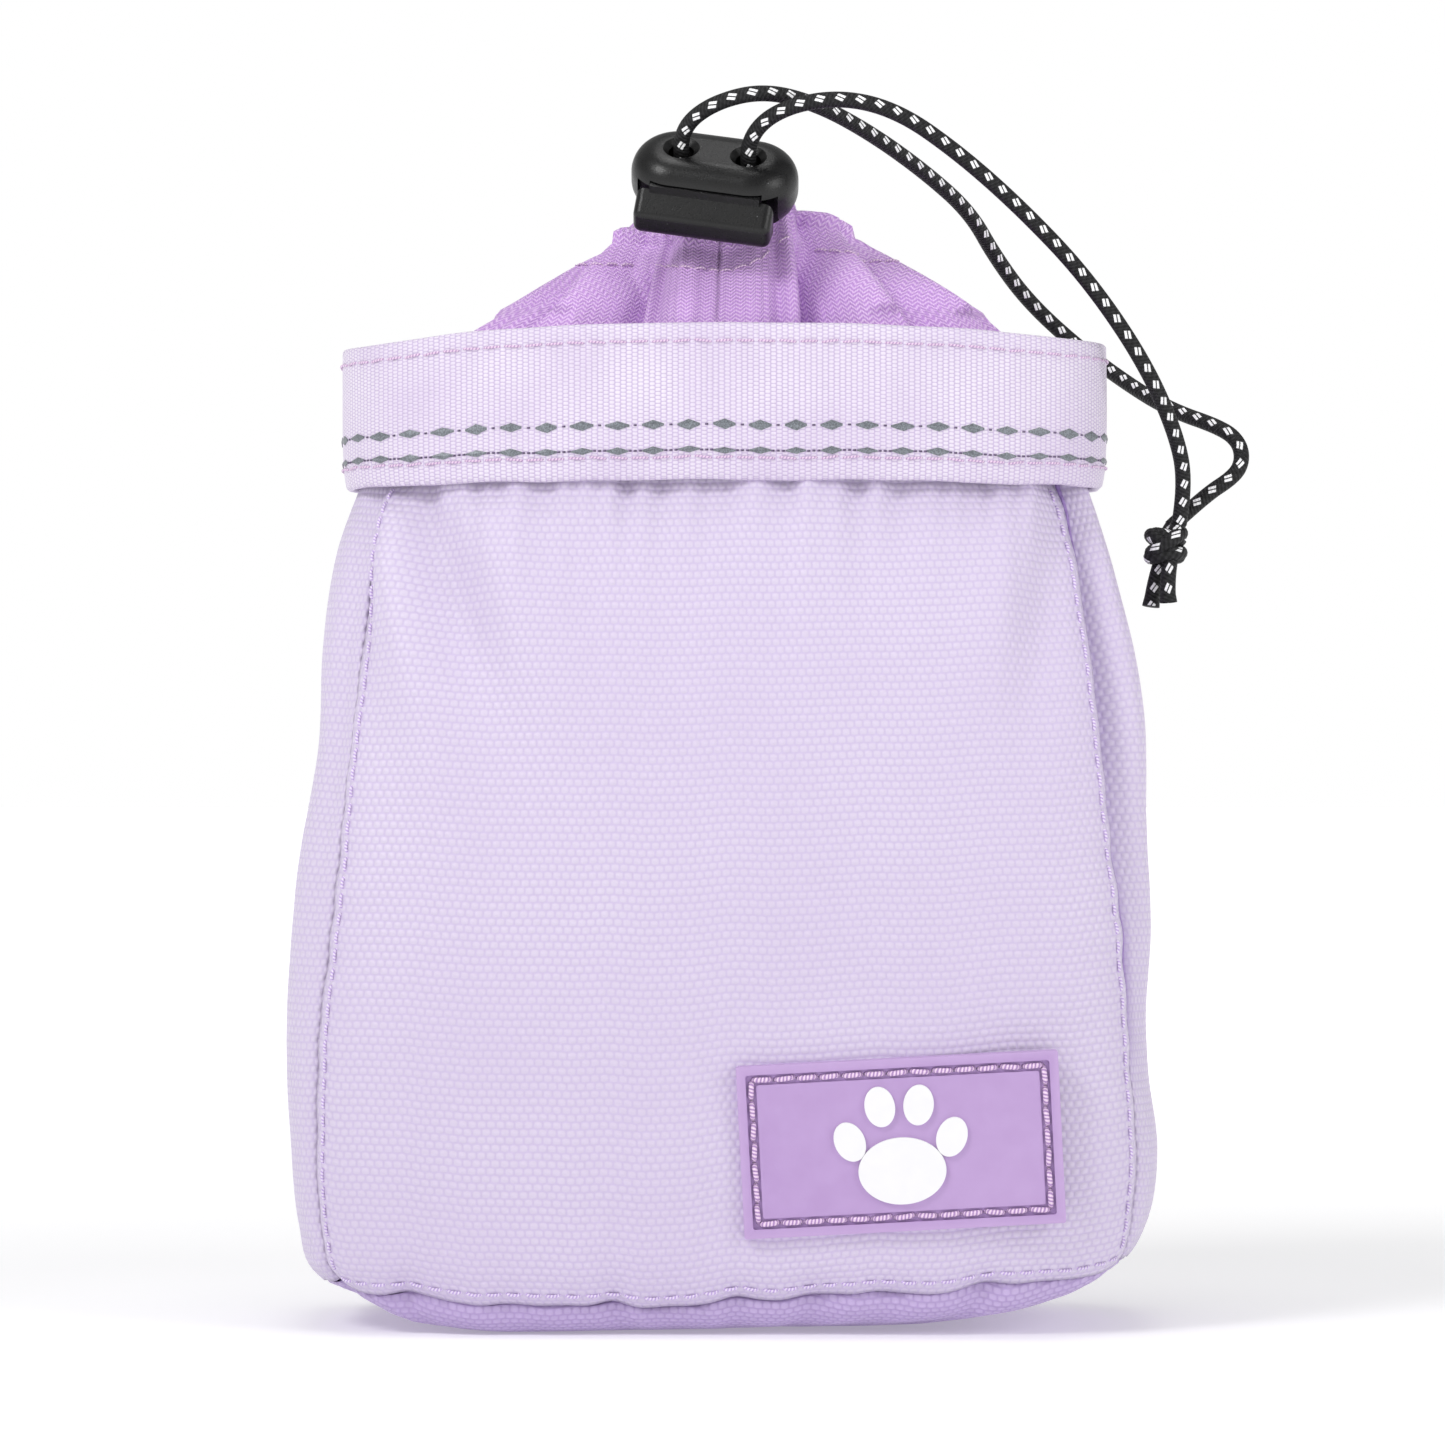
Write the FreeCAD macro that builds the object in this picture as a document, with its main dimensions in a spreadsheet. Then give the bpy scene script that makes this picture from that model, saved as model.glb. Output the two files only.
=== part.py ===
import FreeCAD
import Part
import Sketcher
import math
import os

# Treat pouch: a soft drawstring bag with a webbing rim, a gathered collar, a two-hole cord lock and a
# rubber patch. Millimetres, +Z up, front facing -Y, origin at the centre of the flat base.

os.makedirs("parts", exist_ok=True)
doc = FreeCAD.newDocument("treat_pouch")
Vector = FreeCAD.Vector
Rotation = FreeCAD.Rotation
Placement = FreeCAD.Placement

# ---------------------------------------------------------------- driving dimensions

# Half width, half depth and height of the body's outer surface at each level, from the base up.
LEVELS = [
    (55.0, 25.0, 0.0),
    (61.5, 28.5, 4.0),
    (66.3, 31.0, 12.0),
    (69.4, 33.0, 38.0),
    (68.0, 31.5, 75.0),
    (65.6, 28.5, 106.0),
    (59.2, 24.4, 134.0),
    (58.6, 23.8, 157.5),
]

SIZES = {
    "body_corner": 17.0,
    "fabric_thick": 1.4,
    "base_thick": 1.5,
    "lining_gap": 1.6,
    "lining_thick": 0.6,
    "lining_low": 1.7,
    "lining_high": 146.0,
    "beyond_sides": 120.0,
    "beyond_top": 200.0,
    "cut_past": 2.0,
    "seam_reach": 33.7,
    "seam_angle": 40.5,
    "band_half_width": 61.0,
    "band_half_depth": 26.2,
    "band_thick": 1.5,
    "band_corner": 18.0,
    "band_low": 133.8,
    "band_high": 158.6,
    "rim_stitch_top": 155.6,
    "rim_stitch_bottom": 137.4,
    "rim_stitch_pitch": 3.4,
    "stitch_long": 2.5,
    "stitch_wide": 0.6,
    "stitch_thick": 0.35,
    "stitch_clear": 0.05,
    "collar_low": 147.0,
    "collar_half_width": 56.8,
    "collar_half_depth": 22.0,
    "collar_mid": 158.0,
    "collar_mid_half_width": 41.0,
    "collar_mid_half_depth": 20.0,
    "collar_high": 170.0,
    "collar_thick": 1.2,
    "collar_seam": -1.6,
    "collar_corner": 16.0,
    "neck_flat": 0.1,
    "hem_overlap": 0.2,
    "neck_back": 2.0,
    "neck_radius": 14.0,
    "throat_radius": 5.4,
    "hem_height": 5.0,
    "channel_ring": 9.7,
    "channel_radius": 1.9,
    "channel_sweep": 274.0,
    "channel_height": 172.3,
    "cord_diameter": 2.5,
    "cord_exit_diameter": 4.4,
    "lock_centre_across": -1.2,
    "lock_centre_depth": -15.0,
    "lock_centre_height": 181.0,
    "lock_tilt": 40.0,
    "lock_spin": -13.0,
    "lock_half_width": 13.3,
    "lock_half_depth": 7.5,
    "lock_thick": 10.5,
    "lock_corner": 7.4,
    "lock_round": 4.5,
    "hole_spacing": 10.8,
    "hole_diameter": 4.0,
    "hole_flare": 0.9,
    "cavity_half_width": 9.0,
    "cavity_half_height": 2.7,
    "cavity_back": 5.4,
    "notch_half_width": 11.3,
    "notch_top": 1.9,
    "notch_back": -4.0,
    "plunger_half_width": 8.8,
    "plunger_half_height": 2.5,
    "plunger_back": 2.4,
    "button_half_width": 11.0,
    "button_rear": -7.0,
    "button_front": -10.4,
    "button_top": 1.6,
    "button_low": -4.9,
    "button_slope": 2.8,
    "button_round": 1.3,
    "button_overlap": 0.5,
    "slot_half_width": 2.0,
    "slot_front": -4.3,
    "slot_back": 1.35,
    "spring_wire": 0.5,
    "spring_radius": 1.4,
    "spring_front": -2.2,
    "spring_pitch": 1.5,
    "spring_pocket": 2.0,
    "patch_width": 49.8,
    "patch_tall": 26.8,
    "patch_corner": 0.4,
    "patch_thick": 2.6,
    "patch_across": 27.6,
    "patch_height": 30.1,
    "patch_front": 34.3,
    "patch_roll": 3.0,
    "patch_lean": 3.2,
    "patch_rim": 1.4,
    "patch_groove": 1.6,
    "groove_deep": 0.8,
    "panel_deep": 0.3,
    "patch_stitch_pitch": 3.5,
    "emblem_raise": 0.6,
    "pad_half_width": 6.8,
    "pad_half_height": 5.2,
    "pad_drop": 4.0,
    "toe_half_width": 2.35,
    "toe_half_height": 3.15,
    "toe_inner_across": 3.0,
    "toe_inner_up": 6.1,
    "toe_inner_turn": 8.0,
    "toe_outer_across": 7.9,
    "toe_outer_up": 0.9,
    "toe_outer_turn": 22.0,
    "loop_half_width": 12.5,
    "loop_thick": 1.6,
    "loop_low": 62.0,
    "loop_high": 128.0,
    "loop_tab": 9.0,
    "loop_out": 38.4,
    "loop_slope": 7.0,
    "loop_lean": 1.0,
    "loop_low_start": 33.9,
    "loop_low_end": 33.6,
    "loop_high_start": 27.1,
    "loop_high_end": 28.9,
    "loop_sunk": 29.9,
    "loop_sunk_high": 23.3,
    "loop_stitch_inset": 2.0,
    "loop_stitch_up": 4.0,
    "knot_across": 71.0,
    "knot_depth": 1.0,
    "knot_height": 123.7,
    "knot_radius": 3.9,
}

sheet = doc.addObject("Spreadsheet::Sheet", "Sizes")


def fill_sheet():
    row = 1
    entries = dict(SIZES)
    for level, (wide, deep, height) in enumerate(LEVELS):
        entries[f"level_{level}_width"] = wide
        entries[f"level_{level}_depth"] = deep
        entries[f"level_{level}_height"] = height
    for name, number in entries.items():
        sheet.set(f"A{row}", name)
        sheet.set(f"B{row}", str(number))
        sheet.setAlias(f"B{row}", name)
        row += 1
    doc.recompute()


def value(expression):
    """The number that a sheet expression gives."""
    result = sheet.evalExpression(str(expression))
    return float(getattr(result, "Value", result))


def size(name):
    return float(sheet.get(name))


fill_sheet()

# ---------------------------------------------------------------- sketch and solid helpers

XY, XZ, YZ = "XY_Plane", "XZ_Plane", "YZ_Plane"

# Limits of the cutting boxes, all well outside the pouch.
FAR_LEFT, FAR_RIGHT = "-Sizes.beyond_sides", "Sizes.beyond_sides"
FAR_FRONT, FAR_BACK = "-Sizes.beyond_sides", "Sizes.beyond_sides"
FAR_TOP = "Sizes.beyond_top"


def new_body(name):
    body = doc.addObject("PartDesign::Body", name)
    body.Label = name
    return body


def new_sketch(body, name, role=XY, offset=None):
    """A sketch on one of the body's own planes; offset maps an axis letter to an expression."""
    sketch = body.newObject("Sketcher::SketchObject", name)
    plane = next(item for item in body.Origin.OriginFeatures if item.Role == role)
    sketch.AttachmentSupport = [(plane, "")]
    sketch.MapMode = "FlatFace"
    for axis, expression in (offset or {}).items():
        sketch.setExpression(f"AttachmentOffset.Base.{axis}", expression)
    return sketch


def bind(sketch, constraint, name, expression):
    """Adds a driving constraint and ties it to the sheet."""
    index = sketch.addConstraint(Sketcher.Constraint(*constraint))
    sketch.renameConstraint(index, name)
    sketch.setExpression(f"Constraints.{name}", expression)


def rounded_rectangle(sketch, half_x, half_y, corner, tag=""):
    """A rectangle with round corners centred on the sketch's origin; sizes are expressions."""
    x, y, r = value(half_x), value(half_y), value(corner)
    corners = [(x - r, -y + r, -90), (x - r, y - r, 0), (-x + r, y - r, 90), (-x + r, -y + r, 180)]
    sides = [
        ((-x + r, -y), (x - r, -y)),
        ((x, -y + r), (x, y - r)),
        ((x - r, y), (-x + r, y)),
        ((-x, y - r), (-x, -y + r)),
    ]
    first = sketch.GeometryCount
    for (start, end), (cx, cy, angle) in zip(sides, corners):
        sketch.addGeometry(Part.LineSegment(Vector(*start, 0), Vector(*end, 0)))
        circle = Part.Circle(Vector(cx, cy, 0), Vector(0, 0, 1), r)
        sketch.addGeometry(Part.ArcOfCircle(circle, math.radians(angle), math.radians(angle + 90)))
    for edge in range(8):
        following = first + (edge + 1) % 8
        sketch.addConstraint(Sketcher.Constraint("Tangent", first + edge, 2, following, 1))
    for side in (0, 4):
        sketch.addConstraint(Sketcher.Constraint("Horizontal", first + side))
        sketch.addConstraint(Sketcher.Constraint("Vertical", first + side + 2))
    for arc in (3, 5, 7):
        sketch.addConstraint(Sketcher.Constraint("Equal", first + 1, first + arc))
    sketch.addConstraint(Sketcher.Constraint("Symmetric", first, 1, first + 4, 1, -1, 1))
    bind(sketch, ("DistanceX", -1, 1, first + 2, 1, x), f"half_x{tag}", half_x)
    bind(sketch, ("DistanceY", -1, 1, first + 4, 1, y), f"half_y{tag}", half_y)
    bind(sketch, ("Radius", first + 1, r), f"corner{tag}", corner)


def outline(sketch, points):
    """A closed outline of straight sides; points are pairs of expressions."""
    places = [(value(across), value(up)) for across, up in points]
    first = sketch.GeometryCount
    count = len(points)
    for index in range(count):
        start, end = places[index], places[(index + 1) % count]
        sketch.addGeometry(Part.LineSegment(Vector(*start, 0), Vector(*end, 0)))
    for index in range(count):
        following = first + (index + 1) % count
        sketch.addConstraint(Sketcher.Constraint("Coincident", first + index, 2, following, 1))
    for index, (across, up) in enumerate(points):
        edge = first + index
        bind(sketch, ("DistanceX", -1, 1, edge, 1, places[index][0]), f"across_{edge}", str(across))
        bind(sketch, ("DistanceY", -1, 1, edge, 1, places[index][1]), f"up_{edge}", str(up))


def circle(sketch, across, up, diameter):
    """A circle whose centre and diameter are expressions."""
    x, y, d = value(across), value(up), value(diameter)
    index = sketch.addGeometry(Part.Circle(Vector(x, y, 0), Vector(0, 0, 1), d / 2))
    bind(sketch, ("DistanceX", -1, 1, index, 3, x), f"across_{index}", str(across))
    bind(sketch, ("DistanceY", -1, 1, index, 3, y), f"up_{index}", str(up))
    bind(sketch, ("Diameter", index, d), f"diameter_{index}", str(diameter))


def pad(body, sketch, length, kind="PartDesign::Pad", midplane=False, flipped=False):
    feature = body.newObject(kind, f"{sketch.Name}_solid")
    feature.Profile = sketch
    feature.setExpression("Length", length)
    feature.Midplane = midplane
    feature.Reversed = flipped
    return feature


def pocket(body, sketch, length, midplane=False, flipped=False):
    """A cut that must take material away."""
    doc.recompute()
    before = body.Shape.Volume
    feature = pad(body, sketch, length, "PartDesign::Pocket", midplane, flipped)
    doc.recompute()
    if body.Shape.Volume > before - 1e-3:
        raise RuntimeError(f"{sketch.Name} cuts nothing")
    return feature


def loft(body, kind, sketches):
    """Straight-sided between neighbouring sections, so the panels cut cleanly."""
    feature = body.newObject(kind, f"{sketches[0].Name}_loft")
    feature.Profile = sketches[0]
    feature.Sections = sketches[1:]
    feature.Ruled = True
    return feature


def box(name, low, high):
    """A box between two corners given as expressions, used as a cutting tool."""
    tool = doc.addObject("Part::Box", name)
    for side, axis, start, end in zip(("Length", "Width", "Height"), "xyz", low, high):
        tool.setExpression(side, f"({end}) - ({start})")
        tool.setExpression(f"Placement.Base.{axis}", str(start))
    return tool


def boolean(kind, name, base, tool):
    result = doc.addObject(kind, name)
    result.Base = base
    result.Tool = tool
    result.Label = name
    return result


def edges_where(shape, test):
    return [f"Edge{index}" for index, edge in enumerate(shape.Edges, 1) if test(edge)]


def dress(body, kind, amount_property, amount, test):
    """A fillet or chamfer on the edges of the body's last feature that pass the test."""
    doc.recompute()
    base = body.Tip
    feature = body.newObject(kind, f"{base.Name}_{kind.split('::')[1].lower()}")
    feature.Base = (base, edges_where(base.Shape, test))
    feature.setExpression(amount_property, amount)
    return feature


# ---------------------------------------------------------------- fabric body

def body_levels(body, prefix, inset, low=None, high=None):
    """The body's rounded-rectangle sections, each moved in by inset."""
    sketches = []
    last = len(LEVELS) - 1
    for level in range(last + 1):
        height = f"Sizes.level_{level}_height"
        if level == 0 and low:
            height = low
        if level == last and high:
            height = high
        sketch = new_sketch(body, f"{prefix}_level_{level}", XY, {"z": height})
        half_x = f"Sizes.level_{level}_width - {inset}"
        half_y = f"Sizes.level_{level}_depth - {inset}"
        rounded_rectangle(sketch, half_x, half_y, f"Sizes.body_corner - {inset}")
        sketches.append(sketch)
    return sketches


def make_skin(name, outside, inside, low, floor_top, high):
    """A hollow bag between two insets, with a floor between low and floor_top."""
    body = new_body(name)
    loft(body, "PartDesign::AdditiveLoft", body_levels(body, f"{name}_out", outside, low, high))
    doc.recompute()
    above = f"({high}) + Sizes.cut_past"
    loft(body, "PartDesign::SubtractiveLoft", body_levels(body, f"{name}_in", inside, floor_top, above))
    doc.recompute()
    return body


def wedge(name, turned):
    """A tall wedge that opens towards the front, or towards the back when turned."""
    body = new_body(name)
    sketch = new_sketch(body, f"{name}_outline")
    sign = "1" if turned else "-1"
    far = "Sizes.beyond_sides"
    fall = f"{sign} * ({far} - Sizes.seam_reach) * tan(Sizes.seam_angle * 1deg)"
    outline(sketch, [
        ("-Sizes.seam_reach", "0"),
        (f"-{far}", fall),
        (far, fall),
        ("Sizes.seam_reach", "0"),
    ])
    pad(body, sketch, "Sizes.beyond_top")
    return body


def make_fabric_body():
    skin = make_skin("fabric_skin", "0", "Sizes.fabric_thick", "0", "Sizes.base_thick",
                     f"Sizes.level_{len(LEVELS) - 1}_height")
    slab = box("base_slab", (FAR_LEFT, FAR_FRONT, "0"), (FAR_RIGHT, FAR_BACK, "Sizes.base_thick"))
    walls = boolean("Part::Cut", "fabric_walls", skin, slab)
    front = wedge("front_wedge", False)
    back = wedge("back_wedge", True)
    wedges = doc.addObject("Part::MultiFuse", "wedges")
    wedges.Shapes = [front, back]
    sides = boolean("Part::Cut", "fabric_sides", walls, wedges)
    left = box("left_half", (FAR_LEFT, FAR_FRONT, "0"), ("0", FAR_BACK, FAR_TOP))
    right = box("right_half", ("0", FAR_FRONT, "0"), (FAR_RIGHT, FAR_BACK, FAR_TOP))
    boolean("Part::Common", "base_panel", skin, slab)
    boolean("Part::Common", "front_panel", walls, front)
    boolean("Part::Common", "back_panel", walls, back)
    boolean("Part::Common", "left_gusset", sides, left)
    boolean("Part::Common", "right_gusset", sides, right)
    return ["base_panel", "front_panel", "back_panel", "left_gusset", "right_gusset"]


def make_lining():
    inside = "(Sizes.lining_gap + Sizes.lining_thick)"
    floor_top = "Sizes.lining_low + Sizes.lining_thick"
    skin = make_skin("lining_skin", "Sizes.lining_gap", inside, "Sizes.lining_low", floor_top,
                     "Sizes.lining_high")
    slab = box("lining_slab", (FAR_LEFT, FAR_FRONT, "0"), (FAR_RIGHT, FAR_BACK, floor_top))
    boolean("Part::Common", "lining_base", skin, slab)
    boolean("Part::Cut", "lining_wall", skin, slab)
    return ["lining_base", "lining_wall"]


def make_rim_band():
    body = new_body("rim_band")
    sketch = new_sketch(body, "rim_band_ring", XY, {"z": "Sizes.band_low"})
    rounded_rectangle(sketch, "Sizes.band_half_width", "Sizes.band_half_depth", "Sizes.band_corner")
    rounded_rectangle(sketch, "Sizes.band_half_width - Sizes.band_thick",
                      "Sizes.band_half_depth - Sizes.band_thick",
                      "Sizes.band_corner - Sizes.band_thick", "_in")
    pad(body, sketch, "Sizes.band_high - Sizes.band_low")
    return ["rim_band"]


# ---------------------------------------------------------------- stitching

def stitch_solid(middle, along, out):
    """One flat stitch lying on a surface, from its middle, its run and the surface's outward normal."""
    long, wide, thick = size("stitch_long"), size("stitch_wide"), size("stitch_thick")
    stitch = Part.makeBox(long, wide, thick, Vector(-long / 2, -wide / 2, 0))
    side = out.cross(along)
    turn = FreeCAD.Matrix(along.x, side.x, out.x, middle.x, along.y, side.y, out.y, middle.y,
                          along.z, side.z, out.z, middle.z, 0, 0, 0, 1)
    stitch.transformShape(turn)
    return stitch


def stitches_along(wire, pitch, outward):
    """Stitches evenly spaced along a wire; outward(point, tangent) gives the surface normal."""
    count = max(2, round(wire.Length / pitch))
    solids = []
    for edge in wire.Edges:
        share = max(1, round(count * edge.Length / wire.Length))
        for index in range(share):
            distance = (index + 0.5) * edge.Length / share
            parameter = edge.getParameterByLength(distance)
            point = edge.valueAt(parameter)
            along = edge.tangentAt(parameter).normalize()
            solids.append(stitch_solid(point, along, outward(point, along)))
    return Part.makeCompound(solids)


def rounded_wire(half_x, half_y, corner, height):
    """A closed rounded rectangle at one height."""
    x, y, r = half_x, half_y, corner
    edges = []
    for (sx, sy), start in zip(((1, -1), (1, 1), (-1, 1), (-1, -1)), (-90, 0, 90, 180)):
        centre = Vector(sx * (x - r), sy * (y - r), height)
        edges.append(Part.makeCircle(r, centre, Vector(0, 0, 1), start, start + 90))
    for index in range(4):
        start = edges[index].lastVertex().Point
        end = edges[(index + 1) % 4].firstVertex().Point
        edges.append(Part.makeLine(start, end))
    return Part.Wire(Part.sortEdges(edges)[0])


def plain_feature(name, shape):
    feature = doc.addObject("Part::Feature", name)
    feature.Label = name
    feature.Shape = shape
    return feature


def make_rim_stitches():
    clear = size("stitch_clear")
    names = []
    rows = (("rim_top_stitches", "rim_stitch_top"), ("rim_bottom_stitches", "rim_stitch_bottom"))
    for name, height in rows:
        wire = rounded_wire(size("band_half_width") + clear, size("band_half_depth") + clear,
                            size("band_corner") + clear, size(height))
        up = Vector(0, 0, 1)
        plain_feature(name, stitches_along(wire, size("rim_stitch_pitch"), lambda p, t: t.cross(up)))
        names.append(name)
    return names


# ---------------------------------------------------------------- drawstring collar

def collar_sections(body, prefix, inset):
    sections = [
        ("Sizes.collar_half_width", "Sizes.collar_half_depth", "Sizes.collar_low", "0",
         "Sizes.collar_corner"),
        ("Sizes.collar_mid_half_width", "Sizes.collar_mid_half_depth", "Sizes.collar_mid",
         "Sizes.neck_back / 2", "Sizes.collar_corner"),
        ("Sizes.neck_radius", "Sizes.neck_radius", "Sizes.collar_high", "Sizes.neck_back",
         "Sizes.neck_radius - Sizes.neck_flat"),
    ]
    sketches = []
    for index, (half_x, half_y, height, back, corner) in enumerate(sections):
        sketch = new_sketch(body, f"{prefix}_{index}", XY, {"z": height, "y": back})
        rounded_rectangle(sketch, f"{half_x} - {inset}", f"{half_y} - {inset}", f"{corner} - {inset}")
        sketches.append(sketch)
    return sketches


def make_collar(exits):
    """The gathered cone with its hem ring, tunnelled for the cord, in two halves."""
    body = new_body("collar_whole")
    loft(body, "PartDesign::AdditiveLoft", collar_sections(body, "collar_out", "0"))
    doc.recompute()
    loft(body, "PartDesign::SubtractiveLoft", collar_sections(body, "collar_in", "Sizes.collar_thick"))
    doc.recompute()
    hem = new_sketch(body, "hem_ring", XY,
                     {"z": "Sizes.collar_high - Sizes.hem_overlap", "y": "Sizes.neck_back"})
    circle(hem, "0", "0", "Sizes.neck_radius * 2")
    circle(hem, "0", "0", "Sizes.throat_radius * 2")
    pad(body, hem, "Sizes.hem_height")
    doc.recompute()
    tunnel = new_sketch(body, "channel_round", XZ, {"z": "-Sizes.neck_back"})
    circle(tunnel, "Sizes.channel_ring", "Sizes.channel_height", "Sizes.channel_radius * 2")
    groove = body.newObject("PartDesign::Groove", "channel_tunnel")
    groove.Profile = tunnel
    groove.ReferenceAxis = (tunnel, ["V_Axis"])
    groove.Angle = 360
    doc.recompute()
    drilled = boolean("Part::Cut", "collar_drilled", body, exits)
    left = box("collar_left_side", (FAR_LEFT, FAR_FRONT, "0"), ("Sizes.collar_seam", FAR_BACK, FAR_TOP))
    right = box("collar_right_side", ("Sizes.collar_seam", FAR_FRONT, "0"), (FAR_RIGHT, FAR_BACK, FAR_TOP))
    boolean("Part::Common", "collar_left", drilled, left)
    boolean("Part::Common", "collar_right", drilled, right)
    return ["collar_left", "collar_right"]


# ---------------------------------------------------------------- cord lock

def lock_placement():
    """The lock is spun about its own cord axis, then tilted so that axis leans to the front."""
    centre = Vector(size("lock_centre_across"), size("lock_centre_depth"), size("lock_centre_height"))
    tilt = Rotation(Vector(1, 0, 0), size("lock_tilt"))
    spin = Rotation(Vector(0, 0, 1), size("lock_spin"))
    return Placement(centre, tilt.multiply(spin))


def rectangle(sketch, low_x, low_y, high_x, high_y):
    outline(sketch, [(low_x, low_y), (high_x, low_y), (high_x, high_y), (low_x, high_y)])


def make_lock_body():
    body = new_body("lock_body")
    plan = new_sketch(body, "lock_plan")
    rounded_rectangle(plan, "Sizes.lock_half_width", "Sizes.lock_half_depth", "Sizes.lock_corner")
    pad(body, plan, "Sizes.lock_thick", midplane=True)
    half = size("lock_thick") / 2
    dress(body, "PartDesign::Fillet", "Radius", "Sizes.lock_round",
          lambda edge: abs(abs(edge.CenterOfMass.z) - half) < 0.01)
    holes = new_sketch(body, "lock_holes")
    for side in ("-", ""):
        circle(holes, f"{side}Sizes.hole_spacing / 2", "0", "Sizes.hole_diameter")
    pocket(body, holes, "Sizes.lock_thick + Sizes.cut_past * 2", midplane=True)
    radius = size("hole_diameter") / 2
    dress(body, "PartDesign::Chamfer", "Size", "Sizes.hole_flare",
          lambda edge: isinstance(edge.Curve, Part.Circle) and abs(edge.Curve.Radius - radius) < 0.01
          and abs(abs(edge.CenterOfMass.z) - half) < 0.01)
    notch = new_sketch(body, "button_notch")
    rectangle(notch, "-Sizes.notch_half_width", "-Sizes.lock_thick", "Sizes.notch_half_width",
              "Sizes.notch_back")
    notch.setExpression("AttachmentOffset.Base.z", "Sizes.notch_top")
    pocket(body, notch, "Sizes.lock_thick")
    cavity = new_sketch(body, "plunger_cavity")
    rectangle(cavity, "-Sizes.cavity_half_width", "-Sizes.lock_thick", "Sizes.cavity_half_width",
              "Sizes.cavity_back")
    pocket(body, cavity, "Sizes.cavity_half_height * 2", midplane=True)
    body.Placement = lock_placement()
    return ["lock_body"]


def make_lock_button():
    body = new_body("lock_button")
    side = new_sketch(body, "button_side", YZ)
    outline(side, [
        ("Sizes.button_rear", "Sizes.button_top"),
        ("Sizes.button_front", "Sizes.button_top - Sizes.button_slope"),
        ("Sizes.button_front", "Sizes.button_low"),
        ("Sizes.button_rear", "Sizes.button_low"),
    ])
    pad(body, side, "Sizes.button_half_width * 2", midplane=True)
    front = size("button_rear") - size("button_overlap")
    dress(body, "PartDesign::Fillet", "Radius", "Sizes.button_round",
          lambda edge: edge.CenterOfMass.y < front)
    plunger = new_sketch(body, "plunger_plan")
    rectangle(plunger, "-Sizes.plunger_half_width", "Sizes.button_rear - Sizes.button_overlap",
              "Sizes.plunger_half_width", "Sizes.plunger_back")
    pad(body, plunger, "Sizes.plunger_half_height * 2", midplane=True)
    doc.recompute()
    slots = new_sketch(body, "plunger_slots")
    for sign in ("-1", "1"):
        middle = f"{sign} * Sizes.hole_spacing / 2"
        rectangle(slots, f"{middle} - Sizes.slot_half_width", "Sizes.slot_front",
                  f"{middle} + Sizes.slot_half_width", "Sizes.slot_back")
    pocket(body, slots, "Sizes.lock_thick", midplane=True)
    seat = new_sketch(body, "spring_seat", XZ, {"z": "-Sizes.spring_front"})
    circle(seat, "0", "0", "Sizes.spring_pocket * 2")
    pocket(body, seat, "Sizes.plunger_back - Sizes.spring_front + Sizes.cut_past")
    body.Placement = lock_placement()
    return ["lock_button"]


def make_lock_spring():
    """A coil between the plunger's seat and the back of the lock's cavity."""
    body = new_body("lock_spring")
    wire = size("spring_wire")
    start = size("spring_front") + wire
    length = size("cavity_back") - wire - start
    profile = new_sketch(body, "spring_profile")
    circle(profile, "Sizes.spring_radius", "Sizes.spring_front + Sizes.spring_wire", "Sizes.spring_wire")
    coil = body.newObject("PartDesign::AdditiveHelix", "spring_coil")
    coil.Profile = profile
    coil.ReferenceAxis = (profile, ["V_Axis"])
    coil.Mode = 0
    coil.Pitch = size("spring_pitch")
    coil.Height = length
    body.Placement = lock_placement()
    return ["lock_spring"]


# ---------------------------------------------------------------- drawcord

# Points of each free run, from the collar's channel through the lock to the knot.
CORD_LEFT = [
    (-7.2, -4.7, 172.3), (-6.46, -10.5, 177.5), (-6.46, -19.8, 188.6), (-1.6, -23.6, 192.2),
    (6.4, -23.6, 194.2), (14.9, -18, 192.6), (23.6, -9, 188.8), (32.4, 1, 183.6), (40, 11, 178),
    (44.6, 19, 171.6), (50.2, 25.4, 164.7), (58.0, 27.4, 157.4), (66.1, 20.5, 150.7),
    (72.4, 11.4, 146.2), (80.7, 4.6, 142.9), (83.1, 3.4, 140.3), (83.5, 2.4, 137.3),
    (82.0, 1.8, 134.6), (77.2, 1.9, 131.5), (71.9, 2.8, 126.7),
]
CORD_RIGHT = [
    (4.9, -5.8, 172.3), (4.06, -12.3, 175.9), (4.06, -21.7, 187.1), (9.4, -25.6, 191.6),
    (17.9, -26, 193.1), (27.3, -23.5, 191.1), (37, -19.5, 184.8), (46.8, -16.5, 176.5),
    (57.2, -14.5, 165.9), (66.5, -12.5, 152.7), (72.1, -6, 141.5), (74, -1.8, 133.6),
    (73.0, -0.7, 127.1),
]
TAILS = [
    ((70.4, 2.4, 121.6), (68.6, 2.4, 114.4)),
    ((71.4, -0.6, 121.6), (71.3, -0.8, 114.8)),
]


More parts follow.
